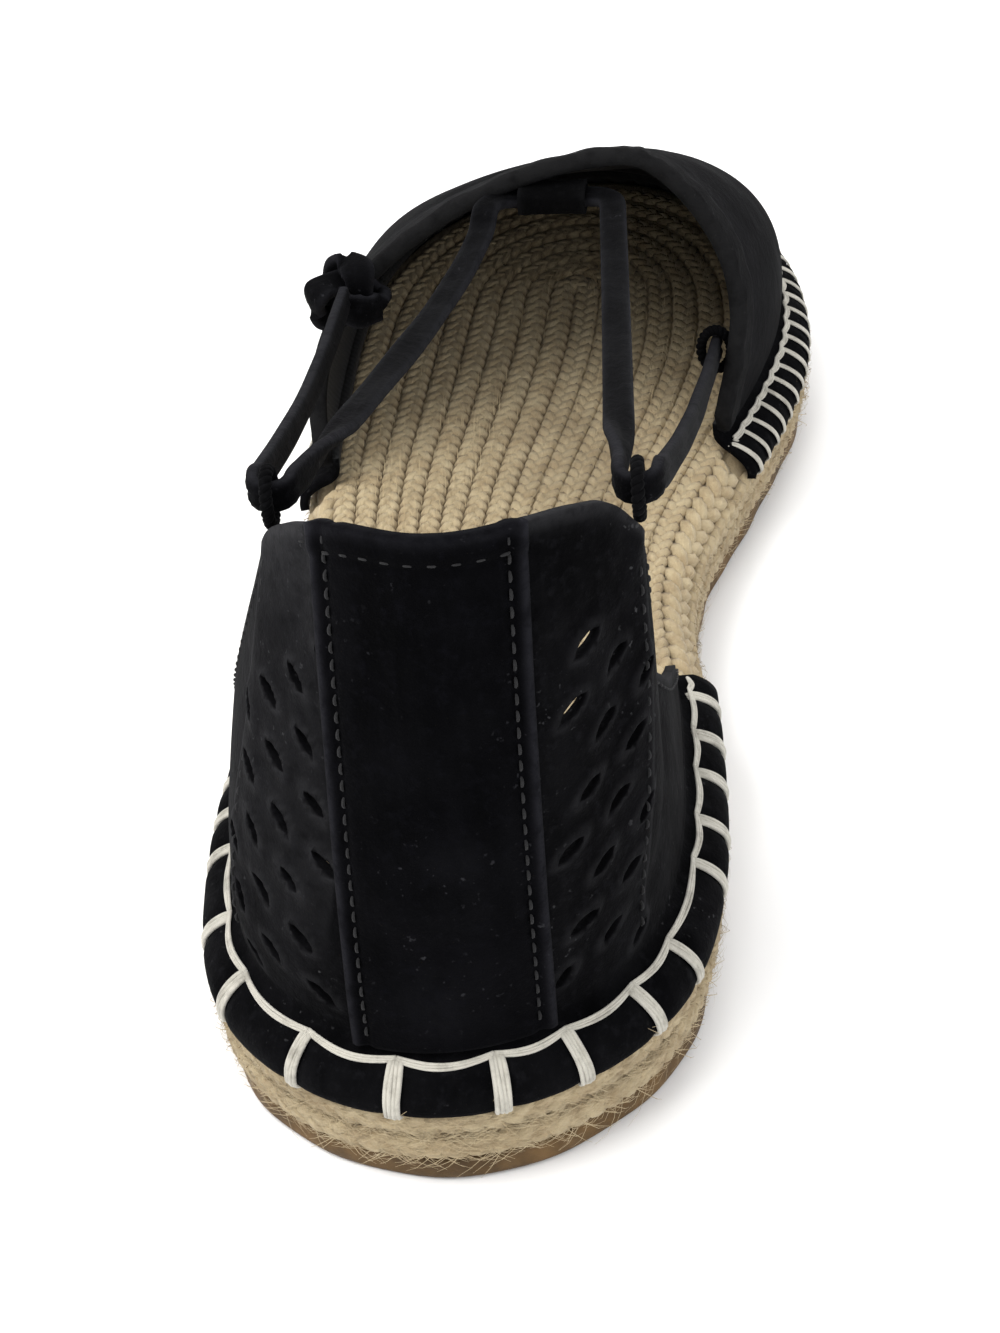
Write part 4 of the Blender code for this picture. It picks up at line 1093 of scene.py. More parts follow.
# path = middle line + share of the way to the edge, woven across and in Z
def buildFootbed():
    count = footbed["rings"]
    spread = count + footbed["spare"]
    plan = soleEdge(around, footbed["inset"])
    middle = middleLine(plan)
    bedTubes, bedDepths = [], []
    for ring in (np.arange(count) + 0.5) / spread:
        flat = middle + (plan - middle) * ring
        height = soleTop(shareOf(flat[:, 1])) - footbed["sunk"]
        path = evenLine(atHeight(flat, height), footbed["step"], True)
        out, up = aroundAxes(path)
        width = wallFoot["inner"][:, 0] - wallFoot["outer"][:, 0]
        room = np.clip(np.interp(path[:, 1], wallFoot["inner"][:, 1], width), 0.05, 0.09) / 2 / spread
        size = room * footbed["fill"]
        tubes, depths = plaitTubes(path, up, out, size, footbed["deep"], size, footbed["pitch"], True)
        bedTubes += tubes
        bedDepths += depths
    points, faces, _ = joinTubes(bedTubes, 6, True)
    points[:, 2] = np.minimum(points[:, 2], soleTop(shareOf(points[:, 1])) + footbed["proud"])
    addPiece("JuteFootbed", points, faces, [juteFibre], {"paintedShade": np.concatenate(bedDepths)})


# path = sole's edge moved in along the waist, woven round the shoulder
def buildWaistRows():
    past, early = waistRows["past"], waistRows["early"]
    edgeTubes, edgeDepths = [], []
    for side, sign in (("inner", 1), ("outer", -1)):
        span = np.linspace(angleAt(wingEnd[side] - past), angleAt(vampStart[side] + past), 120) * sign
        share = shareOf(soleEdge(span, bandReach)[:, 1])
        back, front = wingEnd[side] + early - share, share - vampStart[side] + early
        ends = ease(back / past) + ease(front / past)
        inset = waistRows["inset"] + waistRows["tuck"] * ends
        height = soleTop(share) - waistRows["sunk"]
        path = evenLine(atHeight(soleEdge(span, inset), height), waistRows["step"])
        along = unit(np.gradient(path, axis=0))
        lifted = unit(np.cross(along, [0, 0, 1.0]) * sign + np.array([0, 0, 0.7]))
        tubes, depths = plaitTubes(path, lifted, np.cross(along, lifted), *weaveOf(waistRows), False)
        edgeTubes += tubes
        edgeDepths += depths
    points, faces, ends = joinTubes(edgeTubes, 6, False)
    addPiece("JuteWaistRows", points, faces, [juteFibre], {"paintedShade": np.concatenate(edgeDepths)},
             extra=ends)


# Hairs: line = root + curved step, a thin ribbon each
def buildHairs():
    rng = np.random.default_rng(7)
    count = juteHairs["count"]
    angle = rng.uniform(-math.pi, math.pi, count)
    bed = rng.random(count) < juteHairs["onBed"]
    share = shareOf(soleEdge(angle, bandReach)[:, 1])
    height = heightAt(share, rng.uniform(0.05, 0.95, count))
    side = atHeight(soleEdge(angle, 0.0006), height)
    plan = soleEdge(angle, footbed["inset"])
    inward = middleLine(plan) + (plan - middleLine(plan)) * rng.uniform(0.1, 0.9, count)[:, None]
    flat = atHeight(inward, soleTop(shareOf(inward[:, 1])) - 0.0002)
    bed = bed[:, None]
    root = np.where(bed, flat, side)
    level = np.zeros((count, 1))
    away = np.where(bed, np.array([0, 0, 1.0]), np.concatenate([outlineNormal(angle), level], 1))
    along = unit(np.concatenate([unit(outline(angle + 1e-3) - outline(angle - 1e-3)), level], 1))
    size = rng.uniform(*juteHairs["length"], count)[:, None]
    lean = rng.uniform(-1, 1, (count, 1))
    rise = rng.normal(0, juteHairs["rise"], (count, 1)) * np.where(bed, 0, 1)
    t = np.linspace(0, 1, 4)
    way = along * np.sign(lean) * (0.5 + np.abs(lean) / 2) + np.array([0, 0, 1.0]) * rise
    curl = juteHairs["curl"] * rng.random((count, 1))
    line = (root[:, None] + way[:, None] * (size[:, None] * t[None, :, None])
            + away[:, None] * (size * curl)[:, None] * np.sin(t * 2.4)[None, :, None])
    line[..., 2] = np.maximum(line[..., 2], juteHairs["lowest"])
    taper = (juteHairs["halfWidth"] * (1 - 0.7 * t))[None, :, None]
    wide = unit(np.cross(way, away))[:, None] * taper
    points = np.stack([line - wide, line + wide], 2).reshape(-1, 3)
    faces = (gridFaces(4, 2)[None] + (np.arange(count) * 8)[:, None, None]).reshape(-1, 4)
    # the hairs get a little painted shade
    addPiece("JuteHairs", points, faces, [juteFibre], {"paintedShade": np.full(len(points), 0.1)})


buildOutsole()
buildJuteBody()
buildSideRows()
buildFootbed()
buildWaistRows()
buildHairs()
print("sole made")

# Yarn stitches over the hem band, as lengths round the foot of the wall from the middle of the heel
hemYarn = {
    "heelStitches": (-0.0985, -0.0895, -0.0805, -0.0718, -0.0624, -0.0466, -0.0333, -0.0176, -0.0039,
                     0.0090, 0.0194, 0.0315, 0.0417, 0.0594, 0.0695, 0.0808, 0.0905, 0.1005),
    "vampSpacing": 0.0046,
    "outerBare": 0.0062,
    "heelWidth": 0.0023,
    "vampWidth": 0.0011,
    "threads": 4,
    "hemStart": 0.6,
    "topRow": 4.7,
    "widthSpread": (0.88, 1.1),
    "lean": 1.5,  # towards the toe on the sides, then its chance part
    "leanSpread": 0.4,
    "lift": 0.0001,
    "tail": 0.0016,
    "lineWidth": 0.0011,
    "lineThreads": 3,
    "lineBow": 0.45,
    "heelEnds": (-0.0998, 0.1036),
    "vampFrom": 0.002,
    "pinch": 0.0007,
    "pinchReach": 0.0016,
    "puff": 0.0004,
}
vampInner = float(np.interp(angleAt(vampStart["inner"]), fineAngles, footLength["inner"]))
vampOuter = float(np.interp(angleAt(vampStart["outer"]), fineAngles, footLength["outer"]))
innerTotal, outerTotal = footLength["inner"][-1], footLength["outer"][-1]
vampRun = (innerTotal - vampInner) + (outerTotal - vampOuter)
stitchedRun = vampRun - hemYarn["outerBare"]
vampCount = int(stitchedRun / hemYarn["vampSpacing"])
vampStitches = (np.arange(vampCount) + 0.45) * stitchedRun / vampCount


# Length on the vamp's hem from its inner corner, round the toe, to a signed foot length
def vampAngle(run):
    run = np.asarray(run, float)
    onInner = run <= innerTotal - vampInner
    inner = np.interp(vampInner + run, footLength["inner"], fineAngles)
    outer = -np.interp(outerTotal - (run - (innerTotal - vampInner)), footLength["outer"], fineAngles)
    return np.where(onInner, inner, outer)


# moved = puff between stitches - pinch * exp(-(distance / reach)^2), strongest over the band
def pinchBand(points, normals, length, places, rows):
    near = bell(length[None, :] - np.asarray(places)[:, None], hemYarn["pinchReach"]).max(0)
    over = np.sin(math.pi * np.clip(rows / 5.0, 0, 1))
    move = (hemYarn["puff"] * (1 - near) - hemYarn["pinch"] * near)[None] * over[:, None]
    return points + normals * move[..., None]


# Creases: trough = depth * exp(-(off / width)^2 - (along / reach)^2) about each one's middle
def creaseDepth(u, v, marks):
    total = np.zeros(np.broadcast(u, v).shape)
    for across, up, slant, reach, width, depth in marks:
        a, b = math.cos(math.radians(slant)), math.sin(math.radians(slant))
        du, dv = u - across, v - up
        total += depth * np.exp(-((du * b - dv * a) / width) ** 2 - ((du * a + dv * b) / reach) ** 2)
    return total


quarter = {
    "columns": 230,
    "wallRows": 70,
    "bandRows": 22,
    "panelEdge": 0.0380,  # where the perforated panels end, and how far they stand out
    "panelStep": 0.0004,
    "panelEase": 0.0006,
    # rubbed at the top edge, rubbed wear and painted highlight on the slots' lips, rubbed along the
    # panels' ends, and lighter on the outer side and high on it
    "wear": (0.75, 0.35, 0.7, 0.22, 0.35),
    # where the wings' ends go down to the sole, as shares of the wing and of the band's height
    "settleFrom": 0.83,
    "settleOver": 0.13,
    "settleShare": 0.95,
    "restAbove": 0.15,
    # length from the heel's middle, height, slant in degrees, reach, width, depth (- is a ridge)
    "creases": (
        (0.030, 0.058, 80, 0.014, 0.0035, 0.0009), (0.022, 0.066, 20, 0.008, 0.0025, 0.0006),
        (0.030, 0.034, 100, 0.012, 0.004, 0.0007), (-0.024, 0.070, 75, 0.010, 0.003, 0.0008),
        (-0.030, 0.020, 15, 0.012, 0.003, 0.0006), (-0.034, 0.050, 95, 0.014, 0.004, -0.0007),
        (0.050, 0.020, 40, 0.016, 0.004, 0.0007), (-0.055, 0.018, 140, 0.016, 0.004, 0.0007),
        (0.026, 0.012, 10, 0.010, 0.003, 0.0006), (0.036, 0.072, 60, 0.006, 0.002, -0.0006),
    ),
}
slots = {
    "length": 0.0050,
    "width": 0.0017,
    "along": 0.0061,  # from slot to slot in a row, then from row to row
    "up": 0.0112,
    "rows": 6,
    "slant": math.radians(33),
    "firstUp": 0.0100,
    "fall": 0.87,  # how much lower a slot lies per length away from the heel
    "start": {"inner": 0.0205, "outer": 0.0145},
    "end": 0.0370,
    "lip": 0.00035,  # the raised rim round a slot
    "lipAt": 1.2,
    "lipWidth": 0.5,
    "tiltSpread": 0.09,
    "sizeSpread": 0.07,
}


# Rows of slots, each with its length from the heel's middle, angle and height
def slotPlaces():
    places = []
    columns = int((slots["end"] - min(slots["start"].values())) / slots["along"]) + 1
    for side, sign in (("inner", 1), ("outer", -1)):
        for row in range(slots["rows"]):
            for column in range(columns):
                away = (column + (row % 2) / 2) * slots["along"]
                distance = slots["start"][side] + away
                height = slots["firstUp"] + row * slots["up"] - away * slots["fall"]
                angle = float(angleOf(sign * distance))
                clear = float(quarterTop(np.array([angle]))[0]) * heelHeight - height
                inside = height > slots["firstUp"] / 2 and clear > slots["length"]
                if inside and distance < slots["end"]:
                    places.append((sign * distance, angle, height))
    return np.array(places)


slotTable = slotPlaces()


# Lens bars through the wall: half width = width / 2 * (1 - t^2)^0.6 along the slot
def buildSlotCutter():
    rng = np.random.default_rng(3)
    t = np.linspace(-1, 1, 9)
    upper = np.stack([t * slots["length"] / 2, slots["width"] / 2 * (1 - t ** 2) ** 0.6], 1)
    profile = np.concatenate([upper, -upper[1:-1]])
    point, along, upward, outward = quarterFrame(slotTable[:, 1], slotTable[:, 2] / heelHeight)
    towardStay = -along * np.sign(slotTable[:, :1])
    tilt = slots["slant"] + rng.normal(0, slots["tiltSpread"], len(slotTable))[:, None]
    slant = towardStay * np.cos(tilt) - upward * np.sin(tilt)
    beside = np.cross(outward, slant)
    size = 1 + rng.normal(0, slots["sizeSpread"], len(slotTable))[:, None, None]
    ring = point[:, None] + (slant[:, None] * profile[:, :1] + beside[:, None] * profile[:, 1:]) * size
    low, high = ring - outward[:, None] * 2 * wall, ring + outward[:, None] * wall
    points = np.stack([low, high], 1).reshape(-1, 3)
    count = len(profile)
    j = np.arange(count)
    k = (j + 1) % count
    sides = np.stack([j, k, k + count, j + count], 1)
    faces, ends = [], []
    for slot in range(len(slotTable)):
        start = slot * 2 * count
        faces.append(sides + start)
        ends += [[start + i for i in range(count)][::-1], [start + count + i for i in range(count)]]
    mesh = bpy.data.meshes.new("slotCutter")
    mesh.from_pydata(points.tolist(), [], np.concatenate(faces).tolist() + ends)
    shape = bmesh.new()
    shape.from_mesh(mesh)
    bmesh.ops.recalc_face_normals(shape, faces=shape.faces)
    shape.to_mesh(mesh)
    shape.free()
    cutter = bpy.data.objects.new("slotCutter", mesh)
    scene.collection.objects.link(cutter)
    return cutter


# Runs the modifiers, puts the result in their place and drops the cutter
def applyModifiers(obj, helper=None):
    graph = bpy.context.evaluated_depsgraph_get()
    mesh = bpy.data.meshes.new_from_object(obj.evaluated_get(graph), depsgraph=graph)
    obj.modifiers.clear()
    obj.data = mesh
    mesh.shade_smooth()
    if helper:
        bpy.data.objects.remove(helper, do_unlink=True)


# Gives a sheet its thickness and closes its rim
def thicken(obj, thickness, inside=0):
    modifier = obj.modifiers.new("wall", "SOLIDIFY")
    modifier.thickness = thickness
    modifier.offset = -1
    modifier.use_even_offset = True
    modifier.use_quality_normals = True
    modifier.material_offset = inside


# Quarter: hem band and wall in one sheet, moved by creases, panels and lips, then cut through
def buildQuarter():
    angles = np.concatenate([
        np.linspace(-angleAt(wingEnd["outer"]), 0, quarter["columns"] // 2 + 1)[:-1],
        np.linspace(0, angleAt(wingEnd["inner"]), quarter["columns"] // 2 + 1)])
    length = lengthAt(angles)
    rows = np.linspace(hemYarn["hemStart"], 7, quarter["bandRows"])
    band = bandPoint(angles[None], rows[:, None])
    start = bandHeight * 0.5 / heelHeight
    top = quarterTop(angles)
    up = start + (top - start)[None] * np.linspace(0, 1, quarter["wallRows"])[1:, None]
    points = np.concatenate([band, quarterPoint(angles[None], up)])
    normals = gridNormals(points)
    bandCount = len(rows)
    points[:bandCount] = pinchBand(points[:bandCount], normals[:bandCount], length,
                                   hemYarn["heelStitches"], rows)
    height = up * heelHeight
    fade = ease((height - 0.006) / 0.008)
    move = -creaseDepth(length[None], height, quarter["creases"]) * fade
    # The perforated panels lie over the wings: step = panelStep where |length| < panelEdge
    beyond = np.abs(length)[None] - quarter["panelEdge"]
    move += quarter["panelStep"] * (1 - ease(beyond / quarter["panelEase"])) * fade
    # Lips round the slots: lip * exp(-((q - at) / width)^2), q = distance from a slot in its half sizes
    slant = slots["slant"]
    du = (length[None, :, None] - slotTable[:, 0]) * -np.sign(slotTable[:, 0])
    dv = height[..., None] - slotTable[:, 2]
    a = du * math.cos(slant) - dv * math.sin(slant)
    b = du * math.sin(slant) + dv * math.cos(slant)
    q = np.sqrt((a / (slots["length"] / 2)) ** 2 + (b / (slots["width"] * 0.7)) ** 2).min(-1)
    move += slots["lip"] * bell(q - slots["lipAt"], slots["lipWidth"])
    points[bandCount:] += normals[bandCount:] * move[..., None]
    toEdge = top[None] * heelHeight - height
    wear = np.zeros(points.shape[:2])
    atTop, atSlots, atPanels, outside, highOutside = quarter["wear"]
    # the slots' lips are paler partly for rubbed wear and partly as painted highlight; the outer side
    # is just made lighter
    wear[bandCount:] = (atTop * bell(toEdge, 0.0016) + atSlots * bell(q - slots["lipAt"], 0.4)
                        + atPanels * bell(beyond, 0.0005) * fade
                        + outside * (length[None] < -0.013) * ease((height - 0.01) / 0.02)
                        + highOutside * (length[None] < -0.018) * ease((height - 0.062) / 0.012))
    # At the wings' ends what stands over the stitches goes down to the sole
    sole = soleTop(shareOf(soleEdge(angles, bandReach)[:, 1]))
    rest = (sole + bandHeight * quarter["restAbove"])[None]
    along = ease((wingShare(angles) - quarter["settleFrom"]) / quarter["settleOver"])
    settle = quarter["settleShare"] * along
    points[..., 2] -= np.maximum(points[..., 2] - rest, 0) * settle
    obj = addPiece("Quarter", points, gridFaces(*points.shape[:2]), [quarterSuede, darkLining],
                   {"wear": wear}, ["quarter"])
    thicken(obj, wall, 1)
    cutter = buildSlotCutter()
    cut = obj.modifiers.new("slots", "BOOLEAN")
    cut.operation = "DIFFERENCE"
    cut.solver = "EXACT"
    cut.object = cutter
    applyModifiers(obj, cutter)
    return obj


# Points of the quarter's face at lengths and heights, lifted off it, with its outward directions
def seamLine(lengths, heights, lift):
    angle = angleOf(lengths)
    point, _, _, outward = quarterFrame(angle, np.asarray(heights) / heelHeight)
    return point + outward * lift, outward


stay = {
    "width": 0.0268,
    "sway": 0.0015,
    "thickness": 0.0012,
    "aboveBand": 0.0032,
    "stitchInset": 0.0021,
    "topSeam": 0.0044,
    "stitch": 0.0017,
    "stitchGap": 0.0008,
    # the groove under the stitches, the roll at the edges, the groove and the step at the top seam
    "grooveWidth": 0.0006,
    "groove": 0.00035,
    "roll": 0.0003,
    "topGroove": 0.0003,
    "topStep": 0.0004,
    "edgeWear": 0.85,
    "topWear": 0.45,
    # rubbed places: across, height, slant, reach, width, amount
    "rubbed": ((-0.001, 0.012, 0, 0.006, 0.008, 0.18), (0.002, 0.036, 0, 0.005, 0.004, 0.16)),
    # across from -1 to 1, height, slant, reach, width, depth (- is a ridge)
    "creases": (
        (-0.4, 0.064, 90, 0.010, 0.0030, 0.0005), (0.35, 0.050, 60, 0.012, 0.0035, 0.0006),
        (0.0, 0.022, 20, 0.010, 0.0040, 0.0006), (-0.5, 0.030, 110, 0.010, 0.0030, -0.0004),
    ),
}


# Angle round the heel of a place across the stay, at a height
def stayAngle(place, up):
    x = place * stay["width"] / 2 + stay["sway"] * up
    footX = (x - smooth(heelForm, up, 3) * form["topSway"]) / smooth(heelForm, up, 1)
    outer, inner = wallFoot["outer"][:200], wallFoot["inner"][:200]
    return np.interp(footX, np.concatenate([outer[:0:-1, 0], inner[:, 0]]),
                     np.concatenate([-fineAngles[199:0:-1], fineAngles[:200]]))


# The stay's outer face: quarter's form + gap + thickness, rolled down at its sides
def stayPoint(place, share, lift=0.0):
    place, share = np.broadcast_arrays(np.asarray(place, float), np.asarray(share, float))
    start = stay["aboveBand"] / heelHeight
    top = quarterTop(stayAngle(place, np.ones_like(place))) + stay["thickness"] / heelHeight
    up = start + (top - start) * share
    point, _, _, outward = quarterFrame(stayAngle(place, up), up)
    return point + outward * np.asarray(lift)[..., None], outward, up * heelHeight


# Back stay: a strip up the heel, with sunk seams and rubbed places
def buildStay():
    place = np.linspace(-1, 1, 90)[None]
    share = np.linspace(0, 1, 130)[:, None]
    _, _, height = stayPoint(place, share)
    x = np.broadcast_to(place * stay["width"] / 2, height.shape)
    edge = (1 - np.abs(place)) * stay["width"] / 2
    marks = [(a * stay["width"] / 2, *rest) for a, *rest in stay["creases"]]
    lift = gap + stay["thickness"] - creaseDepth(x, height, marks)
    lift = lift - stay["groove"] * bell(edge - stay["stitchInset"], stay["grooveWidth"])
    lift = lift + stay["roll"] * bell(edge - 0.0007, stay["grooveWidth"])
    down = (1 - share) * (heelHeight - stay["aboveBand"])
    lift = lift - stay["topGroove"] * bell(down - stay["topSeam"], stay["grooveWidth"])
    lift = lift + stay["topStep"] * (down < stay["topSeam"])
    point, _, _ = stayPoint(place, share, lift)
    wear = (stay["edgeWear"] * bell(edge - 0.0004, 0.0006)
            + stay["topWear"] * bell(down - 0.0006, 0.0012)
            + creaseDepth(x, height, stay["rubbed"]))
    obj = addPiece("BackStay", point, gridFaces(*point.shape[:2]), [staySuede], {"wear": wear},
                   ["back_stay"])
    thicken(obj, stay["thickness"] + 0.0001)
    applyModifiers(obj)


stitching = {
    "length": 0.0018,
    "space": 0.0010,
    "stayThread": 0.00024,
    "edgeThread": 0.00018,
    "panelThread": 0.00022,
    "edgeRun": (0.0165, 0.104),  # lengths from the heel's middle
    "belowEdge": 0.0024,
    "lowest": 0.0065,
    "panelAt": 0.0362,
    "panelFrom": 0.008,
    "panelBelow": 0.003,
}


# Rows of small stitches on the stay, under the top edge and up the panels' ends
def buildTopStitching():
    length, space = stitching["length"], stitching["space"]
    face = gap + stay["thickness"]
    share = np.linspace(0.02, 0.985, 120)
    side = 1 - stay["stitchInset"] / (stay["width"] / 2)
    tubes = []
    for place in (-side, side):
        line, outward, _ = stayPoint(np.full_like(share, place), share, face - 0.0001)
        tubes += stitchTubes(line, outward, stay["stitch"], stay["stitchGap"], stitching["stayThread"])
    across = np.linspace(-0.9, 0.9, 60)
    seam = np.full_like(across, 1 - stay["topSeam"] / heelHeight)
    line, outward, _ = stayPoint(across, seam, face)
    tubes += stitchTubes(line, outward, length, space, stitching["stayThread"])
    for sign in (1, -1):
        run = sign * np.linspace(*stitching["edgeRun"], 150)
        height = quarterTop(angleOf(run)) * heelHeight - stitching["belowEdge"]
        keep = height > stitching["lowest"]
        line, outward = seamLine(run[keep], height[keep], 0.00005)
        tubes += stitchTubes(line, outward, length, space, stitching["edgeThread"])
        end = sign * stitching["panelAt"]
        top = float(quarterTop(angleOf(np.array([end])))[0]) * heelHeight - stitching["panelBelow"]
        height = np.linspace(stitching["panelFrom"], top, 60)
        line, outward = seamLine(np.full_like(height, end), height, 0.0004)
        tubes += stitchTubes(line, outward, length, space, stitching["panelThread"])
    points, faces, ends = joinTubes(tubes, 6, False)
    addPiece("TopStitching", points, faces, [blackThread], {"paintedShade": np.zeros(len(points))},
             extra=ends)


# Yarn over the band: from the foot of the wall, over the band's bulge, into the jute
def yarnOver(angle, slant):
    lift, reach = hemYarn["lift"], hemYarn["tail"]
    row = np.linspace(hemYarn["topRow"] + 0.1, hemYarn["hemStart"] - 0.1, 28)
    turned = angle + slant * (row - 2.5) / 3 * 0.010
    centre = bandPoint(turned, row)
    beside = unit(bandPoint(turned + 1e-3, row) - bandPoint(turned - 1e-3, row))
    outward = unit(np.cross(np.gradient(centre, axis=0), beside))
    outward *= np.sign(outward[:, 2].sum() + outward[:, 2][-1])
    line = centre + outward * (lift - lift * 6 * np.exp(-(row - row[0]) ** 2 / 0.05))[:, None]
    t = np.linspace(0.25, 1, 4)[:, None]
    inward = outward[-1] * (1, 1, 0) * t ** 1.5 * reach * 1.5
    tail = line[-1] - np.array([0, 0, 1.0]) * t * reach - inward
    return np.concatenate([line, tail]), np.concatenate([outward, np.repeat(outward[-1:], 4, 0)])


# Floss: threads side by side, offset = (k - middle) * spacing + a slow wander
def flossTubes(line, normals, width, threads, rng, sides=7):
    path = evenLine(line, 0.00045)
    at = np.linspace(0, len(line) - 1, len(path))
    normal = unit(readLine(at, np.arange(len(line)), normals))
    side = unit(np.cross(np.gradient(path, axis=0), normal))
    share = np.linspace(0, 1, len(path))
    radius = width / threads * 0.62
    gather = 0.62 + 0.38 * np.sin(math.pi * np.clip(share * 0.9 + 0.05, 0, 1)) ** 0.6
    tubes = []
    for k in range(threads):
        wander = 0.18 * radius * np.sin(share * rng.uniform(4, 9) + rng.uniform(0, 6))
        off = (k - (threads - 1) / 2) * width / threads * gather + wander
        lift = radius * 0.5 * np.sin(share * 7 + k * 2.1) * 0.5
        strand = path + side * off[:, None] + normal * lift[:, None]
        tubes.append(sweep(strand, normal, circle(radius, sides)))
    return tubes


# All the yarn: stitches over the hem, then the line between them
def buildHemYarn():
    rng = np.random.default_rng(11)
    tubes = []
    heel = np.array(hemYarn["heelStitches"])
    groups = ((angleOf(heel), hemYarn["heelWidth"]), (vampAngle(vampStitches), hemYarn["vampWidth"]))
    for group, width in groups:
        for angle in group:
            lean = -hemYarn["lean"] * math.sin(float(angle)) + rng.normal(0, hemYarn["leanSpread"])
            line, normals = yarnOver(float(angle), lean)
            thick = width * rng.uniform(*hemYarn["widthSpread"])
            tubes += flossTubes(line, normals, thick, hemYarn["threads"], rng)
    # The line from stitch to stitch at the foot of the wall, bowed down between them
    runs = (
        (heel, angleOf, *hemYarn["heelEnds"]),
        (vampStitches, vampAngle, hemYarn["vampFrom"], stitchedRun),
    )
    t = np.linspace(0, 1, 14)
    for run, toAngle, low, high in runs:
        ends = np.concatenate([[low], run, [high]])
        for first, last in zip(ends[:-1], ends[1:]):
            turned = toAngle(first + (last - first) * t)
            bow = np.sin(math.pi * t) * (1 - 0.65 * np.abs(np.sin(turned)))
            out = unit(atHeight(outlineNormal(turned), np.ones(len(t))))
            line = bandPoint(turned, hemYarn["topRow"] - hemYarn["lineBow"] * bow)
            line = line + out * (hemYarn["lineWidth"] * (0.1 + 0.25 * bow))[:, None]
            tubes += flossTubes(line, out, hemYarn["lineWidth"], hemYarn["lineThreads"], rng)
    points, faces, ends = joinTubes(tubes, 7, False)
    addPiece("HemYarn", points, faces, [woolYarn], {"paintedShade": np.zeros(len(points))}, extra=ends)


vamp = {
    "columns": 200,
    "wallRows": 56,
    "bandRows": 22,
    "cuffWidth": 0.0055,
    "cuffThickness": 0.0008,
    "cuffWearAndSheen": (0.25, 0.5, 0.55),  # on the strip, added at its edge, over the rim; over the rim it is rubbed wear and painted sheen on the fold's top
    "rimWear": 0.35,
    "waviness": 0.0002,
    # x, y, slant in degrees from X, reach, width, depth (- is a ridge)
    "creases": (
        (0.006, 0.066, 12, 0.020, 0.0034, 0.0007), (0.012, 0.078, -8, 0.018, 0.0038, 0.0006),
        (-0.016, 0.062, 30, 0.012, 0.0030, 0.0005), (0.004, 0.092, 10, 0.014, 0.0045, -0.0005),
    ),
}


# Points on each line at the wanted length along it
def readColumns(lines, lengths, targets):
    shift = np.arange(lengths.shape[1]) * 10.0
    at, want = (lengths + shift).T.ravel(), targets + shift
    return np.stack([np.interp(want, at, lines[..., k].T.ravel()) for k in range(3)], -1)


# Lines from the wall's foot to the rim: plan moves evenly, height from the arch, sides bulged
def vampLines():
    angles, rims = [], []
    for side, sign in (("outer", -1), ("inner", 1)):
        toe = np.linspace(angleAt(vampStart[side]), math.pi, vamp["columns"] // 2 + 1)
        length = np.interp(toe, fineAngles, footLength[side])
        points = rimPoint(side, (length - length[0]) / (length[-1] - length[0]))
        if sign > 0:
            toe, points = toe[-2::-1], points[-2::-1]
        angles.append(sign * toe)
        rims.append(points)
    angles, rims = np.concatenate(angles)[::-1], np.concatenate(rims)[::-1]
    part = 1 - np.cos(np.linspace(0, math.pi / 2, 240))
    foot = soleEdge(angles, bandReach)
    plan = foot[None] + (rims - foot)[None] * part[:, None, None]
    rise = vampHeight(plan[..., 0], plan[..., 1])
    outward = unit(foot - soleEdge(angles, bandReach + 1e-3))
    bulge = np.where(angles >= 0, sideBulge["inner"], sideBulge["outer"]) * outward[:, 0] ** 2
    swell = bulge * np.sin(math.pi * np.clip(rise / instepHeight, 0, 1))
    plan = plan + outward[None] * swell[..., None]
    lines = atHeight(plan, soleTop(shareOf(plan[..., 1])) + rise)
    steps = np.linalg.norm(np.diff(lines, axis=0), axis=2)
    return angles, lines, np.concatenate([np.zeros((1, len(angles))), np.cumsum(steps, axis=0)])


# Vamp: hem band and arch in one sheet, moved by creases and a slow wave
def buildVamp():
    angles, lines, lengths = vampLines()
    run = runAlong(soleEdge(angles, bandReach))
    rows = np.linspace(hemYarn["hemStart"], 7, vamp["bandRows"])
    band = bandPoint(angles[None], rows[:, None])
    total = lengths[-1]
    start = bandHeight * 0.5
    share = np.linspace(0, 1, vamp["wallRows"])[1:, None] ** 1.15
    wallPoints = readColumns(lines, lengths, start + (total - start)[None] * share)
    points = np.concatenate([band, wallPoints])
    normals = gridNormals(points)
    count = len(rows)
    points[:count] = pinchBand(points[:count], normals[:count], run, vampStitches, rows)
    x, y = wallPoints[..., 0], wallPoints[..., 1]
    toRim = (total - start)[None] * (1 - share)
    offRim = ease((toRim - 0.004) / 0.006)
    move = -creaseDepth(x, y, vamp["creases"]) * offRim * ease(share * 4)
    move += vamp["waviness"] * np.sin(x * 160 + 1) * np.sin(y * 140 + 2) * offRim * ease(share * 3)
    points[count:] += normals[count:] * move[..., None]
    wear = np.zeros(points.shape[:2])
    wear[count:] = vamp["rimWear"] * bell(toRim, 0.009)
    obj = addPiece("Vamp", points, gridFaces(*points.shape[:2]), [vampSuede, darkLining],
                   {"wear": wear}, ["vamp"])
    thicken(obj, wall, 1)
    applyModifiers(obj)
    return angles, lines, lengths


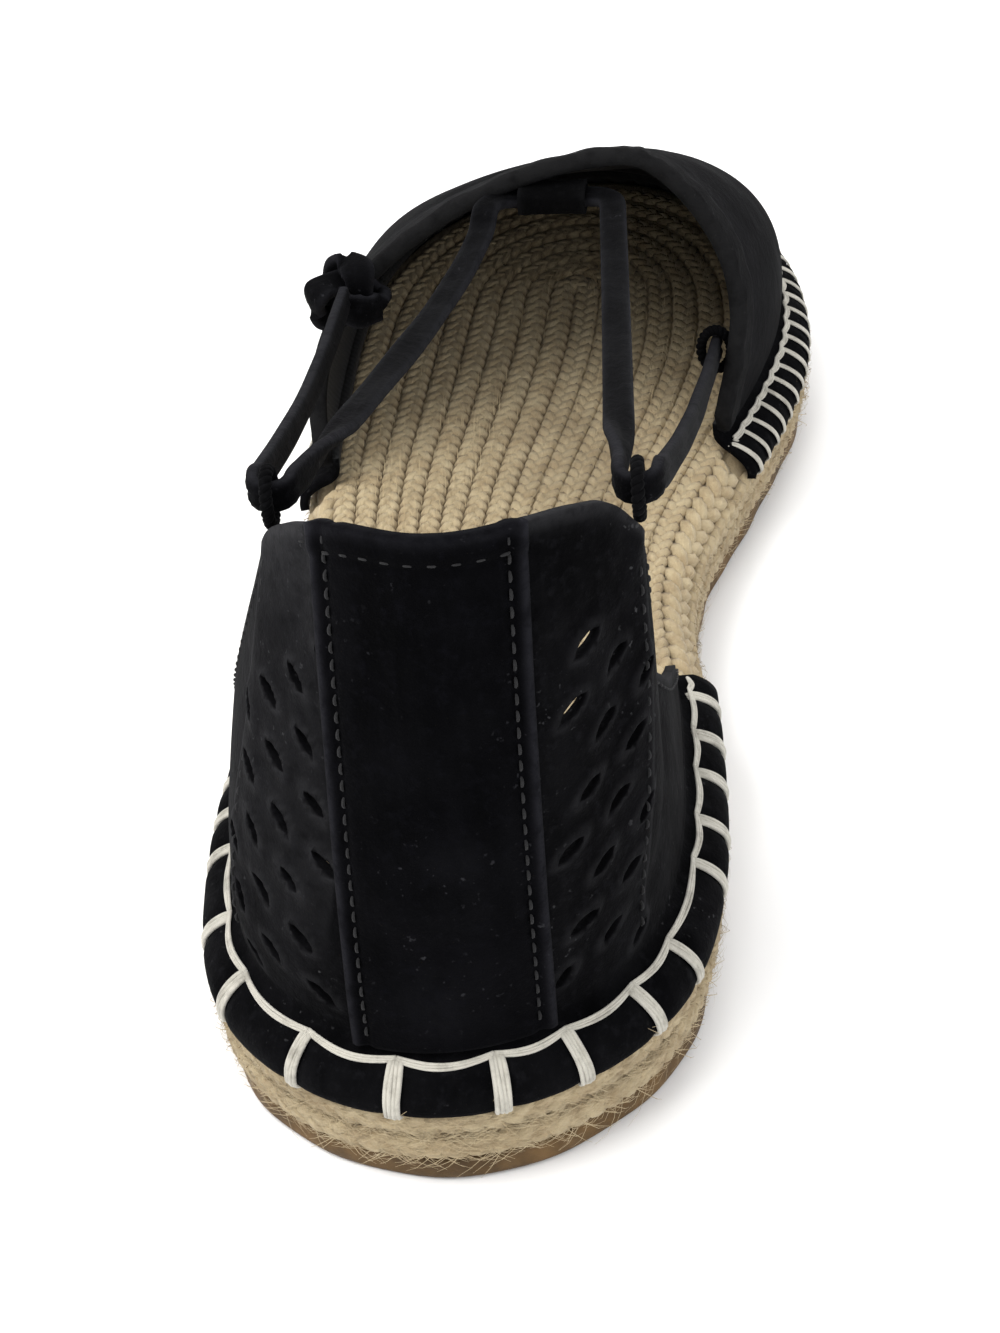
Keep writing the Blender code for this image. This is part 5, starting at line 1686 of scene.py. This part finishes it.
# Cuff: a folded strip round the rim; each ring goes out from the wall, over the edge and back inside
def buildCuff(angles, lines, lengths):
    total = lengths[-1]
    wide = np.minimum(vamp["cuffWidth"], (total - bandHeight * 0.5) * 0.9)
    thick = vamp["cuffThickness"]
    count = len(angles)
    back = np.linspace(1.0, 0.03, 12)
    outer = readColumns(lines, lengths, total[None] - wide[None] * back[:, None])
    rimLine, before = lines[-1], readColumns(lines, lengths, (total - 0.0012)[None])[0]
    over = unit(rimLine - before)
    alongRim = np.gradient(rimLine, axis=0)
    normal = unit(np.cross(alongRim, over))
    if normal[len(normal) // 2, 2] < 0:
        normal = -normal
    rise = thick * (0.15 + 0.85 * ease((1 - back) / 0.12))
    wave = 1 + 0.25 * np.sin(np.arange(count) * 0.55) * np.sin(np.arange(count) * 0.13)
    rings = [outer + normal[None] * (rise[:, None] * wave[None])[..., None]]
    turn = np.linspace(0, math.pi, 9)[1:-1]
    half = (wall + 2 * thick) / 2
    arc = rimLine[None] + over[None] * (np.sin(turn) * half * 0.8)[:, None, None]
    arc = arc + normal[None] * (thick - half + np.cos(turn) * half)[:, None, None]
    rings.append(arc)
    inner = readColumns(lines, lengths, total[None] - 0.8 * wide[None] * back[::-1][:, None])
    rings.append(inner - normal[None] * (wall + thick * np.linspace(1, 0.1, len(back)))[:, None, None])
    points = np.concatenate(rings)
    rows, i = len(points), np.arange(count - 1)
    last = (rows - 1) * count
    closing = np.stack([last + i, last + i + 1, i + 1, i], 1)
    start = [row * count for row in range(rows)]
    ends = [start, [at + count - 1 for at in start][::-1]]
    onStrip, atEdge, overRim = vamp["cuffWearAndSheen"]
    wear = np.zeros((rows, count))
    wear[:len(back)] = onStrip + atEdge * bell(back - 1, 0.12)[:, None]
    # the fold's top: rubbed wear and painted sheen
    wear[len(back):len(back) + len(turn)] = overRim
    faces = np.concatenate([gridFaces(rows, count), closing])
    addPiece("VampCuff", points, faces, [cuffSuede], {"wear": wear}, extra=ends)


buildQuarter()
buildStay()
buildTopStitching()
vampParts = buildVamp()
buildCuff(*vampParts)
buildHemYarn()
print("upper made")

# Studio: pale floor, soft light from above and the front
studio = {
    "floorSize": 4.0,
    "floorColour": (0.88, 0.88, 0.88, 1),
    "skyStrength": 0.85,
    # place, size, strength in watts, colour
    "lamps": (
        ((-0.5, -0.3, 1.0), 0.8, 13, (1.0, 0.99, 0.97)),
        ((0.7, -0.9, 0.8), 0.9, 6, (0.97, 0.98, 1.0)),
        ((0.1, 0.9, 0.9), 0.7, 7, (1.0, 1.0, 1.0)),
    ),
}


def addStudio():
    half = studio["floorSize"] / 2
    mesh = bpy.data.meshes.new("floor")
    corners = [(-half, -half, 0), (half, -half, 0), (half, half, 0), (-half, half, 0)]
    mesh.from_pydata(corners, [], [(0, 1, 2, 3)])
    floor = bpy.data.objects.new("floor", mesh)
    scene.collection.objects.link(floor)
    r = Recipe("floorPaint")
    mesh.materials.append(r.set(Base_Color=studio["floorColour"], Roughness=0.8))
    world = bpy.data.worlds.new("sky")
    scene.world = world
    scene.view_settings.view_transform = "Standard"
    world.use_nodes = True
    sky = world.node_tree.nodes["Background"]
    sky.inputs["Color"].default_value = (1, 1, 1, 1)
    sky.inputs["Strength"].default_value = studio["skyStrength"]
    for index, (place, size, strength, colour) in enumerate(studio["lamps"]):
        data = bpy.data.lights.new(f"lamp{index}", "AREA")
        data.energy = strength
        data.size = size
        data.color = colour
        lamp = bpy.data.objects.new(f"lamp{index}", data)
        lamp.location = place
        lamp.rotation_euler = (-Vector(place)).to_track_quat("-Z", "Y").to_euler()
        scene.collection.objects.link(lamp)


addStudio()
print("studio made")
